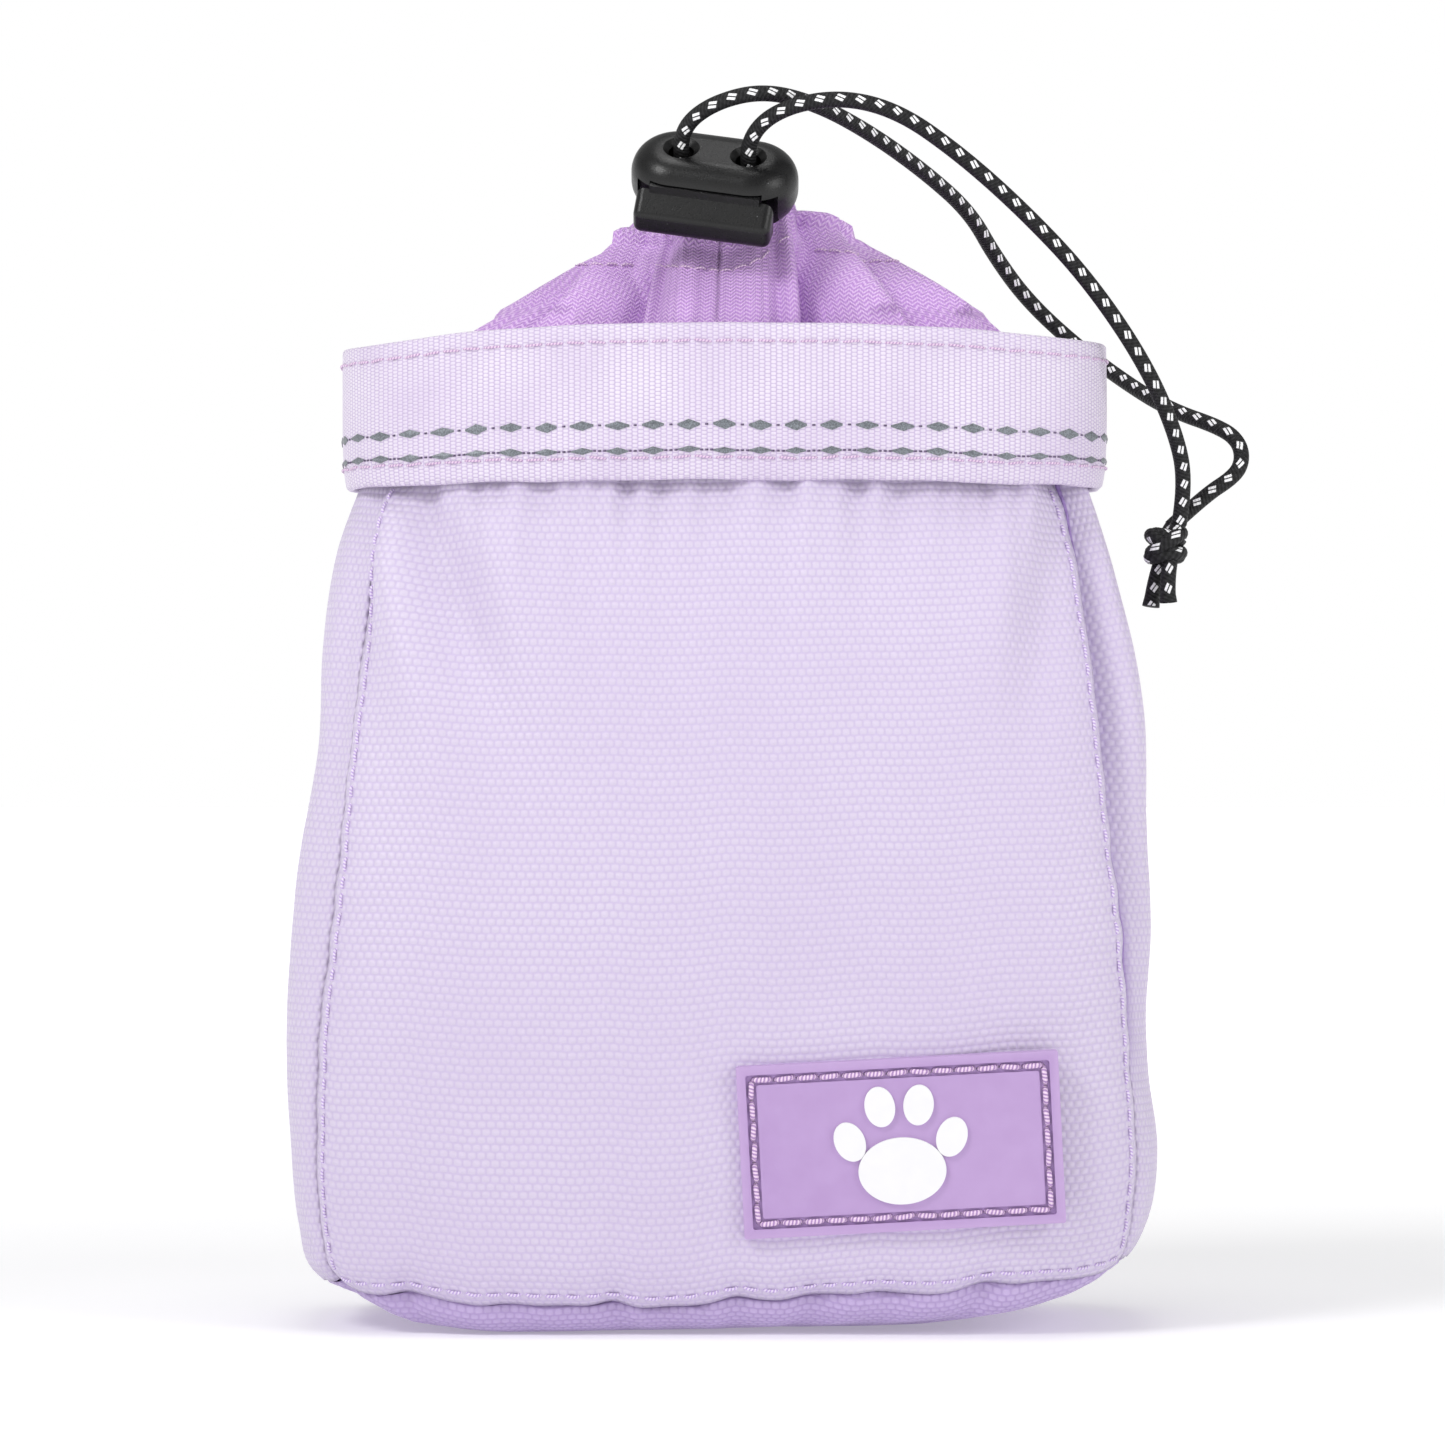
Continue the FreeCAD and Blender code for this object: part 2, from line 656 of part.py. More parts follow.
def cord_tube(name, points):
    """A round tube along straight runs joined by tangent arcs as large as the runs allow."""
    places = [Vector(*point) for point in points]
    edges = []
    start = places[0]
    radii = []
    for before, corner, after in zip(places, places[1:], places[2:]):
        back = (before - corner).normalize()
        ahead = (after - corner).normalize()
        turn = math.pi - back.getAngle(ahead)
        reach = 0.45 * min(before.distanceToPoint(corner), after.distanceToPoint(corner))
        radius = reach / math.tan(turn / 2)
        bisector = (back + ahead).normalize()
        arc_start = corner + back * reach
        arc_end = corner + ahead * reach
        arc_middle = corner + bisector * (radius / math.cos(turn / 2) - radius)
        edges.append(Part.LineSegment(start, arc_start).toShape())
        edges.append(Part.Arc(arc_start, arc_middle, arc_end).toShape())
        radii.append(round(radius, 1))
        start = arc_end
    edges.append(Part.LineSegment(start, places[-1]).toShape())
    path = Part.Wire(edges)
    section_radius = size("cord_diameter") / 2
    section = Part.Wire(Part.makeCircle(section_radius, places[0], places[1] - places[0]))
    tube = path.makePipeShell([section], True, False)
    expected = math.pi * section_radius ** 2 * path.Length
    print(name, "length", round(path.Length, 1), "volume over expected", round(tube.Volume / expected, 4),
          "radii", radii)
    return plain_feature(name, tube)


def rod(start, end, diameter):
    along = end - start
    return Part.makeCylinder(diameter / 2, along.Length, start, along)


def make_cord_exits():
    """Drills that open the collar's channel along the first run of each cord."""
    drills = []
    for points in (CORD_LEFT, CORD_RIGHT):
        start, end = Vector(*points[0]), Vector(*points[1])
        past = (end - start).normalize() * size("cut_past")
        drills.append(rod(start, end + past, size("cord_exit_diameter")))
    return plain_feature("cord_exits", Part.makeCompound(drills))


def make_channel_cord():
    """The drawcord inside the hem, round the back from one exit to the other."""
    body = new_body("channel_cord")
    profile = new_sketch(body, "channel_cord_section", XZ, {"z": "-Sizes.neck_back"})
    circle(profile, "Sizes.channel_ring", "Sizes.channel_height", "Sizes.cord_diameter")
    ring = body.newObject("PartDesign::Revolution", "channel_cord_ring")
    ring.Profile = profile
    ring.ReferenceAxis = (profile, ["V_Axis"])
    ring.setExpression("Angle", "Sizes.channel_sweep")
    centre = Vector(0, size("neck_back"), 0)
    start = -(size("channel_sweep") - 180) / 2
    body.Placement = Placement(Vector(0, 0, 0), Rotation(Vector(0, 0, 1), start), centre)
    return ["channel_cord"]


def make_knot():
    knot = doc.addObject("Part::Sphere", "end_knot")
    knot.Label = "end_knot"
    knot.setExpression("Radius", "Sizes.knot_radius")
    knot.setExpression("Placement.Base.x", "Sizes.knot_across")
    knot.setExpression("Placement.Base.y", "Sizes.knot_depth")
    knot.setExpression("Placement.Base.z", "Sizes.knot_height")
    tails = [rod(Vector(*start), Vector(*end), size("cord_diameter")) for start, end in TAILS]
    plain_feature("cord_tails", Part.makeCompound(tails))
    return ["end_knot", "cord_tails"]


# ---------------------------------------------------------------- rubber patch

def patch_placement():
    """On the lower right of the front: faces the front, leans with the panel and rises to the right."""
    place = Vector(size("patch_across"), -size("patch_front"), size("patch_height"))
    upright = Rotation(Vector(1, 0, 0), 90 + size("patch_lean"))
    roll = Rotation(Vector(0, 0, 1), size("patch_roll"))
    return Placement(place, upright.multiply(roll))


def patch_frame(sketch, inset, tag=""):
    rounded_rectangle(sketch, f"Sizes.patch_width / 2 - {inset}", f"Sizes.patch_tall / 2 - {inset}",
                      "Sizes.patch_corner", tag)


def make_patch_base(core):
    body = new_body("patch_block")
    plan = new_sketch(body, "patch_plan")
    patch_frame(plan, "0")
    pad(body, plan, "Sizes.patch_thick", flipped=True)
    doc.recompute()
    groove = new_sketch(body, "patch_stitch_groove")
    patch_frame(groove, "Sizes.patch_rim")
    patch_frame(groove, "(Sizes.patch_rim + Sizes.patch_groove)", "_in")
    pocket(body, groove, "Sizes.groove_deep")
    panel = new_sketch(body, "patch_panel")
    patch_frame(panel, "(Sizes.patch_rim + Sizes.patch_groove)")
    pocket(body, panel, "Sizes.panel_deep")
    body.Placement = patch_placement()
    boolean("Part::Cut", "patch_base", body, core)
    return ["patch_base"]


def ellipse_solid(centre, half_x, half_y, turn):
    """A short upright cylinder on an ellipse, its longer half size first turned by an angle."""
    long, short = max(half_x, half_y), min(half_x, half_y)
    curve = Part.Ellipse(Vector(0, 0, 0), long, short)
    face = Part.Face(Part.Wire(curve.toShape()))
    solid = face.extrude(Vector(0, 0, size("emblem_raise")))
    lean = turn if half_x >= half_y else turn + 90
    solid.Placement = Placement(centre, Rotation(Vector(0, 0, 1), lean))
    return solid


def make_patch_emblem():
    """A raised paw print: one pad and four toes, on the patch's inner panel."""
    level = -size("panel_deep")
    solids = [ellipse_solid(Vector(0, -size("pad_drop"), level), size("pad_half_width"),
                            size("pad_half_height"), 0)]
    for toe, side in (("outer", -1), ("inner", -1), ("inner", 1), ("outer", 1)):
        place = Vector(side * size(f"toe_{toe}_across"), size(f"toe_{toe}_up"), level)
        turn = -side * size(f"toe_{toe}_turn")
        solids.append(ellipse_solid(place, size("toe_half_width"), size("toe_half_height"), turn))
    emblem = plain_feature("patch_emblem", Part.makeCompound(solids))
    emblem.Placement = patch_placement()
    return ["patch_emblem"]


def make_patch_stitches():
    inset = size("patch_rim") + size("patch_groove") / 2
    wire = rounded_wire(size("patch_width") / 2 - inset, size("patch_tall") / 2 - inset,
                        size("patch_corner"), -size("groove_deep"))
    row = stitches_along(wire, size("patch_stitch_pitch"), lambda p, t: Vector(0, 0, 1))
    stitches = plain_feature("patch_stitches", row)
    stitches.Placement = patch_placement()
    return ["patch_stitches"]


# ---------------------------------------------------------------- belt loop

def make_belt_loop(core):
    """Webbing sewn to the back at both ends and standing off it between them."""
    body = new_body("loop_strip")
    side = new_sketch(body, "loop_side", YZ)
    low, high = "Sizes.loop_low", "Sizes.loop_high"
    out, thick = "Sizes.loop_out", "Sizes.loop_thick"
    tab, slope = "Sizes.loop_tab", "Sizes.loop_slope"
    # The strap's outer side from bottom to top, then its inner side down again, sunk into the back.
    outline(side, [
        ("Sizes.loop_sunk", low),
        ("Sizes.loop_low_start", low),
        ("Sizes.loop_low_end", f"{low} + {tab}"),
        (out, f"{low} + {tab} + {slope}"),
        (f"{out} - Sizes.loop_lean", f"{high} - {tab} - {slope}"),
        ("Sizes.loop_high_end", f"{high} - {tab}"),
        ("Sizes.loop_high_start", high),
        ("Sizes.loop_sunk_high", high),
        ("Sizes.loop_sunk_high", f"{high} - {tab} - {thick}"),
        (f"Sizes.loop_high_end - {thick} / 2", f"{high} - {tab} - {thick}"),
        (f"{out} - Sizes.loop_lean - {thick}", f"{high} - {tab} - {slope} - {thick}"),
        (f"{out} - {thick}", f"{low} + {tab} + {slope} + {thick}"),
        (f"Sizes.loop_low_end - {thick} / 2", f"{low} + {tab} + {thick}"),
        ("Sizes.loop_sunk", f"{low} + {tab} + {thick}"),
    ])
    pad(body, side, "Sizes.loop_half_width * 2", midplane=True)
    boolean("Part::Cut", "belt_loop", body, core)
    return ["belt_loop"]


def make_loop_stitches():
    """A short row across each sewn end of the loop."""
    solids = []
    half = size("loop_half_width") - size("loop_stitch_inset")
    loop = doc.getObject("belt_loop").Shape
    for height in (size("loop_low") + size("loop_stitch_up"), size("loop_high") - size("loop_stitch_up")):
        ray = Part.makeLine(Vector(0, 0, height), Vector(0, size("beyond_sides"), height))
        surface = max(vertex.Y for vertex in loop.common(ray).Vertexes) + size("stitch_clear")
        wire = Part.Wire(Part.makeLine(Vector(half, surface, height), Vector(-half, surface, height)))
        row = stitches_along(wire, size("rim_stitch_pitch"), lambda p, t: Vector(0, 1, 0))
        solids.extend(row.Solids)
    plain_feature("belt_loop_stitches", Part.makeCompound(solids))
    return ["belt_loop_stitches"]


# ---------------------------------------------------------------- build, check and write

def make_core():
    """The solid inside the body's outer surface, for pieces that lie against it."""
    core = new_body("bag_core")
    loft(core, "PartDesign::AdditiveLoft", body_levels(core, "core", "0"))
    doc.recompute()
    return core


def build():
    names = make_fabric_body()
    names += make_lining()
    names += make_rim_band()
    names += make_rim_stitches()
    names += make_collar(make_cord_exits())
    names += make_channel_cord()
    names += make_lock_body()
    names += make_lock_button()
    names += make_lock_spring()
    cord_tube("cord_left", CORD_LEFT)
    cord_tube("cord_right", CORD_RIGHT)
    names += ["cord_left", "cord_right"]
    names += make_knot()
    core = make_core()
    names += make_patch_base(core)
    names += make_patch_emblem()
    names += make_patch_stitches()
    names += make_belt_loop(core)
    doc.recompute()
    names += make_loop_stitches()
    doc.recompute()
    return names


def write(names):
    failed = [item.Name for item in doc.Objects if {"Invalid", "Error"} & set(item.State)]
    if failed:
        raise RuntimeError(f"failed objects: {failed}")
    for name in names:
        shape = doc.getObject(name).Shape
        if shape.isNull() or not shape.isValid() or not shape.Solids:
            raise RuntimeError(f"{name} has no valid solid")
        shape.exportStep(f"parts/{name}.step")
        print(name, len(shape.Solids), "solids", round(shape.Volume, 1), "mm3")


write(build())
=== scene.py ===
import math
import random

import bmesh
import bpy
import numpy as np
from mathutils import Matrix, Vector, noise


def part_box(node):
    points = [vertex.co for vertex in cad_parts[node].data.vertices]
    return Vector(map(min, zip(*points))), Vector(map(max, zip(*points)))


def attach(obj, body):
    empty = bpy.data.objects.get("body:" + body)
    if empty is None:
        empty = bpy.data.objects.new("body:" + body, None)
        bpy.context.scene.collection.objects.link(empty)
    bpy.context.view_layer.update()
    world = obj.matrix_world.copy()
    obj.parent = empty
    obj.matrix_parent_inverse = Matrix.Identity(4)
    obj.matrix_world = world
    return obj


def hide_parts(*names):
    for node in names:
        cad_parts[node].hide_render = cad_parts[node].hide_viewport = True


# Treat pouch: soft coated body, webbing rim, gathered collar, cord lock on elastic cord, rubber patch.
# Lengths in the helper functions are millimetres; MM turns them into metres when a mesh is made.

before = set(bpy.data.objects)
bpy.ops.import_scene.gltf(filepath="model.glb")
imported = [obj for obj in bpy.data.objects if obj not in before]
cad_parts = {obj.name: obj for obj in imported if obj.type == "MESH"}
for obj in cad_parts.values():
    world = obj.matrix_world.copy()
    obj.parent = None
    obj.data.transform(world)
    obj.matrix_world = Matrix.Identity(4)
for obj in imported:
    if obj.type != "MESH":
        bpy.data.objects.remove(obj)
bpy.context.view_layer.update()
MM = 0.001

# ---------------------------------------------------------------- shader helpers


def linear(hex_colour):
    """The linear colour of an sRGB hex string."""
    parts = [int(hex_colour[i:i + 2], 16) / 255 for i in (0, 2, 4)]
    return tuple(p / 12.92 if p <= 0.04045 else ((p + 0.055) / 1.055) ** 2.4 for p in parts) + (1.0,)


class Shader:
    """A node material with one Principled shader, and short calls that add nodes to it."""

    def __init__(self, name, roughness=0.5, **sockets):
        self.material = bpy.data.materials.new(name)
        self.material.use_nodes = True
        self.tree = self.material.node_tree
        self.shader = self.tree.nodes["Principled BSDF"]
        self.shader.inputs["Roughness"].default_value = roughness
        for socket, number in sockets.items():
            self.shader.inputs[socket.replace("_", " ")].default_value = number

    def link(self, value, socket):
        if isinstance(value, bpy.types.NodeSocket):
            self.tree.links.new(value, socket)
        else:
            socket.default_value = value

    def node(self, kind, **settings):
        node = self.tree.nodes.new(kind)
        for key, setting in settings.items():
            setattr(node, key, setting)
        return node

    def maths(self, operation, *values):
        node = self.node("ShaderNodeMath", operation=operation)
        for value, socket in zip(values, node.inputs):
            self.link(value, socket)
        return node.outputs[0]

    def wave(self, value, pitch):
        """A 0 to 1 bump once per pitch."""
        turns = self.maths("MULTIPLY", value, 2 * math.pi / pitch)
        return self.maths("MULTIPLY_ADD", self.maths("COSINE", turns), -0.5, 0.5)

    def uv(self):
        split = self.node("ShaderNodeSeparateXYZ")
        source = self.node("ShaderNodeUVMap", uv_map="weave")
        self.tree.links.new(source.outputs[0], split.inputs[0])
        return split.outputs[0], split.outputs[1]

    def noise(self, scale, detail=2.0, source=None):
        """Noise in the object's own space; scale is in features per metre."""
        texture = self.node("ShaderNodeTexNoise")
        texture.inputs["Scale"].default_value = scale
        texture.inputs["Detail"].default_value = detail
        if source is None:
            source = self.node("ShaderNodeTexCoord").outputs["Object"]
        self.tree.links.new(source, texture.inputs["Vector"])
        return texture.outputs["Fac"]

    def ramp(self, value, low, high, to_low=0.0, to_high=1.0):
        node = self.node("ShaderNodeMapRange")
        for socket, number in zip(("From Min", "From Max", "To Min", "To Max"), (low, high, to_low, to_high)):
            node.inputs[socket].default_value = number
        self.link(value, node.inputs["Value"])
        return node.outputs[0]

    def mix(self, factor, first, second):
        node = self.node("ShaderNodeMix", data_type="RGBA")
        self.link(factor, node.inputs["Factor"])
        self.link(first, node.inputs["A"])
        self.link(second, node.inputs["B"])
        return node.outputs["Result"]

    def colour(self, value):
        self.link(value, self.shader.inputs["Base Color"])

    def roughness(self, value):
        self.link(value, self.shader.inputs["Roughness"])

    def bump(self, height, depth_mm, strength=1.0, below=None):
        node = self.node("ShaderNodeBump")
        node.inputs["Strength"].default_value = strength
        node.inputs["Distance"].default_value = depth_mm * MM
        self.link(height, node.inputs["Height"])
        if below is not None:
            self.tree.links.new(below, node.inputs["Normal"])
        self.tree.links.new(node.outputs[0], self.shader.inputs["Normal"])
        return node.outputs[0]


def coated_fabric(name="coated_fabric", low="D2C6DE", high="D6CCE1", gap="C9BBDA", seam_shade=None):
    """Pale lilac coated polyester, embossed with staggered rows of small pebbles.

    With a seam shade colour, painted shade darkens the cloth along the u = 0 edge, where it is folded hard behind
    the seam."""
    row_pitch, bump_pitch = 1.2 * MM, 1.38 * MM
    s = Shader(name, 0.42, Sheen_Weight=0.12, Sheen_Roughness=0.4, Specular_IOR_Level=0.45)
    u, v = s.uv()
    row = s.maths("FLOOR", s.maths("DIVIDE", v, row_pitch))
    shifted = s.maths("MULTIPLY_ADD", row, bump_pitch / 2, u)
    across = s.wave(shifted, bump_pitch)
    up = s.wave(v, row_pitch)
    pebble = s.maths("POWER", s.maths("MULTIPLY", across, up), 0.6)
    broad = s.noise(28, 3)
    fine = s.noise(900, 2)
    base = s.mix(s.ramp(broad, 0.3, 0.7), linear(low), linear(high))
    # The gap colour is painted shade in the valleys between the pebbles.
    shade = s.mix(s.ramp(pebble, 0.0, 0.45), linear(gap), base)
    # Painted shade: the cloth darkens towards the seam shade colour within about 5 mm of the u = 0 edge, from 28 mm
    # up the wall and fully above 50 mm.
    if seam_shade:
        shade = s.mix(s.maths("MULTIPLY", s.ramp(u, 0.0052, 0.0018), s.ramp(v, 0.028, 0.05)), shade, linear(seam_shade))
    s.colour(s.mix(s.ramp(fine, 0.62, 0.8, 0, 0.15), shade, linear("EADFF4")))
    s.roughness(s.ramp(pebble, 0, 1, 0.52, 0.36))
    grain = s.bump(fine, 0.05, 0.25)
    s.bump(pebble, 0.18, 0.85, grain)
    return s.material


WEBBING_RIB = 0.9


def webbing():
    """Lilac polyester webbing: upright ribs of small staggered dashes."""
    rib, dash = WEBBING_RIB * MM, 0.62 * MM
    s = Shader("webbing", 0.38, Sheen_Weight=0.15, Specular_IOR_Level=0.5)
    u, v = s.uv()
    column = s.maths("FLOOR", s.maths("DIVIDE", u, rib))
    shifted = s.maths("MULTIPLY_ADD", column, dash / 2, v)
    across = s.wave(u, rib)
    thread = s.maths("MULTIPLY", s.maths("POWER", across, 0.5), s.maths("POWER", s.wave(shifted, dash), 0.5))
    # Broad lighter patches: partly a random change of tone, partly painted sheen.
    broad = s.noise(45, 2)
    base = s.mix(s.ramp(broad, 0.35, 0.65), linear("DBCFE4"), linear("E7DFED"))
    shade = s.mix(s.ramp(thread, 0.0, 0.45), linear("C2AFD3"), base)
    s.colour(shade)
    s.roughness(s.ramp(thread, 0, 1, 0.5, 0.33))
    s.bump(thread, 0.16, 0.8)
    return s.material


def zigzag_weave():
    """Purple collar polyester with fine zig-zag rows."""
    row, zig = 0.7 * MM, 1.7 * MM
    s = Shader("zigzag_weave", 0.45, Sheen_Weight=0.25, Sheen_Roughness=0.35, Specular_IOR_Level=0.5)
    u, v = s.uv()
    ramp = s.maths("PINGPONG", s.maths("DIVIDE", u, zig / 2), 1.0)
    shifted = s.maths("MULTIPLY_ADD", ramp, row * 0.9, v)
    rows = s.wave(shifted, row)
    slivers = s.wave(u, 0.42 * MM)
    thread = s.maths("MULTIPLY_ADD", slivers, 0.25, s.maths("MULTIPLY", rows, 0.75))
    broad = s.noise(60, 3)
    base = s.mix(s.ramp(broad, 0.35, 0.65), linear("DCB4EC"), linear("E6C4F2"))
    light = s.mix(s.ramp(thread, 0.2, 0.9), linear("BE8FD6"), base)
    s.colour(s.mix(s.ramp(thread, 0.82, 1.0, 0, 0.5), light, linear("F0DAF6")))
    s.roughness(s.ramp(thread, 0, 1, 0.55, 0.38))
    s.bump(thread, 0.16, 0.9)
    return s.material


def braided_elastic():
    """Black braid; u is the turn round the cord, v its length. Two columns of white flecks, each a pair of bars."""
    strand, fleck_pitch, girth = 0.62 * MM, 3.05 * MM, 7.85
    s = Shader("braided_elastic", 0.5, Specular_IOR_Level=0.35)
    u, v = s.uv()
    around = s.maths("MULTIPLY", u, 5.0)
    along = s.maths("DIVIDE", v, strand)
    right = s.maths("SINE", s.maths("MULTIPLY", s.maths("ADD", along, around), 2 * math.pi))
    left = s.maths("SINE", s.maths("MULTIPLY", s.maths("SUBTRACT", s.maths("MULTIPLY", along, 0.5), around),
                                   2 * math.pi))
    braid = s.maths("MULTIPLY_ADD", s.maths("ADD", right, s.maths("MULTIPLY", left, 0.6)), 0.31, 0.5)
    column = s.maths("FLOOR", s.maths("MULTIPLY", u, 2.0))
    side = s.maths("SUBTRACT", s.maths("FRACT", s.maths("MULTIPLY", u, 2.0)), 0.5)
    step = s.maths("MULTIPLY_ADD", column, 0.5, s.maths("DIVIDE", v, fleck_pitch))
    cell = s.maths("SUBTRACT", s.maths("FRACT", step), 0.5)
    across_mm = s.maths("MULTIPLY", side, girth / 2)
    along_mm = s.maths("MULTIPLY", cell, fleck_pitch / MM)
    slant = s.maths("MULTIPLY_ADD", along_mm, -0.45, across_mm)
    bar = s.maths("ABSOLUTE", s.maths("SUBTRACT", s.maths("ABSOLUTE", slant), 0.34))
    end = s.maths("ABSOLUTE", s.maths("MULTIPLY_ADD", slant, 0.5, along_mm))
    fleck = s.maths("MULTIPLY", s.ramp(bar, 0.27, 0.2), s.ramp(end, 0.62, 0.5))
    black = s.mix(s.ramp(braid, 0.2, 1.0), linear("040405"), linear("1F1F21"))
    s.colour(s.mix(fleck, black, linear("F4F4F5")))
    s.roughness(s.ramp(braid, 0, 1, 0.7, 0.5))
    s.bump(s.maths("ADD", braid, s.maths("MULTIPLY", fleck, 0.5)), 0.12, 0.9)
    return s.material


def moulded_black():
    """Black moulded nylon with a fine spark-eroded grain and a little dust."""
    s = Shader("moulded_black", 0.4, Specular_IOR_Level=0.42)
    grain = s.noise(5200, 3)
    broad = s.noise(120, 2)
    base = s.mix(s.ramp(broad, 0.3, 0.7), linear("040405"), linear("09090A"))
    dust = s.node("ShaderNodeTexVoronoi")
    dust.inputs["Scale"].default_value = 420
    s.tree.links.new(s.node("ShaderNodeTexCoord").outputs["Object"], dust.inputs["Vector"])
    speck = s.ramp(dust.outputs["Distance"], 0.05, 0.035)
    s.colour(s.mix(s.maths("MULTIPLY", speck, 0.35), base, linear("8E8E90")))
    s.roughness(s.ramp(grain, 0.3, 0.7, 0.25, 0.4))
    s.bump(grain, 0.035, 0.7)
    return s.material


def moulded_rubber(name, low, high, edge):
    """Soft moulded rubber: satin, faint mottling, convex edges and corners lighter."""
    s = Shader(name, 0.45, Specular_IOR_Level=0.4)
    mottle = s.noise(260, 3)
    grain = s.noise(3000, 2)
    edge_lightening = s.ramp(s.node("ShaderNodeNewGeometry").outputs["Pointiness"], 0.52, 0.6, 0, 0.5)
    base = s.mix(s.ramp(mottle, 0.3, 0.7), linear(low), linear(high))
    s.colour(s.mix(edge_lightening, base, linear(edge)))
    s.roughness(s.ramp(mottle, 0.3, 0.7, 0.4, 0.5))
    s.bump(grain, 0.02, 0.4)
    return s.material


def sewing_thread(name, low, high):
    """Twisted polyester thread; u is the turn round the thread, v its length."""
    s = Shader(name, 0.45, Sheen_Weight=0.2)
    u, v = s.uv()
    twist = s.wave(s.maths("MULTIPLY_ADD", u, 0.5 * MM, v), 0.5 * MM)
    s.colour(s.mix(s.ramp(twist, 0.1, 0.8), linear(low), linear(high)))
    s.bump(twist, 0.08, 0.8)
    return s.material


def lining_nylon():
    """Thin plain-woven nylon."""
    s = Shader("lining_nylon", 0.5, Sheen_Weight=0.2)
    place = s.node("ShaderNodeSeparateXYZ")
    s.tree.links.new(s.node("ShaderNodeTexCoord").outputs["Object"], place.inputs[0])
    threads = s.maths("MULTIPLY", s.wave(place.outputs[0], 0.5 * MM), s.wave(place.outputs[2], 0.5 * MM))
    s.colour(s.mix(threads, linear("A690C0"), linear("BBA5D3")))
    s.bump(threads, 0.08, 0.6)
    return s.material


def reflective_yarn():
    """Grey glass-bead yarn with a faint sparkle."""
    s = Shader("reflective_yarn", 0.42, Metallic=0.25)
    beads = s.noise(4200, 2)
    s.colour(s.mix(s.ramp(beads, 0.35, 0.7), linear("5E6268"), linear("8C9298")))
    s.bump(beads, 0.03, 0.5)
    return s.material


def spring_wire():
    s = Shader("spring_wire", 0.3, Metallic=1.0)
    s.colour(s.mix(s.noise(900, 2), linear("8D8D90"), linear("B5B5B8")))
    s.bump(s.noise(3000, 1), 0.01, 0.3)
    return s.material


FABRIC = coated_fabric()
# A darker copy of the cloth for the base panel: painted shade on the strip under the front seam, which faces down.
BASE_FABRIC_PAINTED_SHADE = coated_fabric("base_fabric_painted_shade", "BFABD6", "C6B3DC", "B19BCB")
# The right gusset's cloth, with painted shade in the fold behind the front seam.
GUSSET_FABRIC_SEAM_SHADED = coated_fabric("gusset_fabric_painted_seam_shade", seam_shade="9A7FBC")
WEBBING = webbing()
COLLAR = zigzag_weave()
BRAID = braided_elastic()
BLACK = moulded_black()
PATCH = moulded_rubber("patch_rubber", "B091C4", "B698CA", "C6ABD6")
EMBLEM = moulded_rubber("emblem_rubber", "E4E3E6", "EBEAEC", "F4F4F5")
THREAD = sewing_thread("lilac_thread", "B896C2", "E8CFE6")
FABRIC_THREAD = sewing_thread("pale_thread", "BDA3DA", "E9DDF4")
PINK_THREAD = sewing_thread("pink_thread", "A982BC", "F0D6EE")
LINING = lining_nylon()
REFLECT = reflective_yarn()
STEEL = spring_wire()

# ---------------------------------------------------------------- mesh helpers


def make_object(name, points, faces, uvs, material, smooth=True):
    """An object on the pouch's body, from points in millimetres, with one uv (metres) per face corner."""
    mesh = bpy.data.meshes.new(name)
    mesh.from_pydata([tuple(p) for p in np.asarray(points) * MM], [], faces)
    layer = mesh.uv_layers.new(name="weave")
    layer.data.foreach_set("uv", np.asarray(uvs, dtype=float).ravel())
    mesh.polygons.foreach_set("use_smooth", [smooth] * len(mesh.polygons))
    mesh.materials.append(material)
    mesh.update()
    piece = bpy.data.objects.new(name, mesh)
    bpy.context.scene.collection.objects.link(piece)
    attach(piece, "pouch")
    return piece


def grid_parts(grid, uv, wrap_rows=False, wrap_columns=False, start=0):
    """Faces and face-corner uvs (metres) of a grid of points, rows by columns."""
    rows, columns = grid.shape[:2]
    faces, uvs = [], []
    for i in range(rows if wrap_rows else rows - 1):
        for j in range(columns if wrap_columns else columns - 1):
            corners = [(i, j), (i, j + 1), (i + 1, j + 1), (i + 1, j)]
            faces.append([start + (a % rows) * columns + (b % columns) for a, b in corners])
            uvs.extend(uv[a][b] for a, b in corners)
    return faces, uvs


def sheet_uv(grid, wrap_rows=False, wrap_columns=False):
    """Uvs measured along the middle row and the middle column, in metres."""
    rows, columns = grid.shape[:2]
    middle_row = grid[rows // 2]
    middle_column = grid[:, columns // 2]
    along = round_lengths(middle_row) if wrap_columns else lengths(middle_row)
    up = round_lengths(middle_column) if wrap_rows else lengths(middle_column)
    return [[(a * MM, b * MM) for a in along] for b in up]


def lengths(points):
    """Distance along a line of points, from 0."""
    steps = np.linalg.norm(np.diff(points, axis=0), axis=1)
    return np.concatenate([[0.0], np.cumsum(steps)])


def round_lengths(points):
    """Distance along a closed line, from 0 to all the way round."""
    return lengths(np.vstack([points, points[:1]]))


def resample(points, count, closed=False):
    """count points evenly spaced along a line; a closed line doesn't repeat its first point."""
    points = np.asarray(points, dtype=float)
    if closed:
        points = np.vstack([points, points[:1]])
    run = lengths(points)
    wanted = np.linspace(0, run[-1], count + 1)[:-1] if closed else np.linspace(0, run[-1], count)
    return np.stack([np.interp(wanted, run, points[:, k]) for k in range(points.shape[1])], axis=1)


def sheet_object(name, grid, material, thick=0.0, wrap_columns=False, wrap_rows=False, uv=None):
    uv = uv or sheet_uv(grid, wrap_rows, wrap_columns)
    faces, uvs = grid_parts(grid, uv, wrap_rows, wrap_columns)
    piece = make_object(name, grid.reshape(-1, 3), faces, uvs, material)
    if thick:
        solid = piece.modifiers.new("thickness", "SOLIDIFY")
        solid.thickness = thick * MM
        solid.offset = -1
    return piece


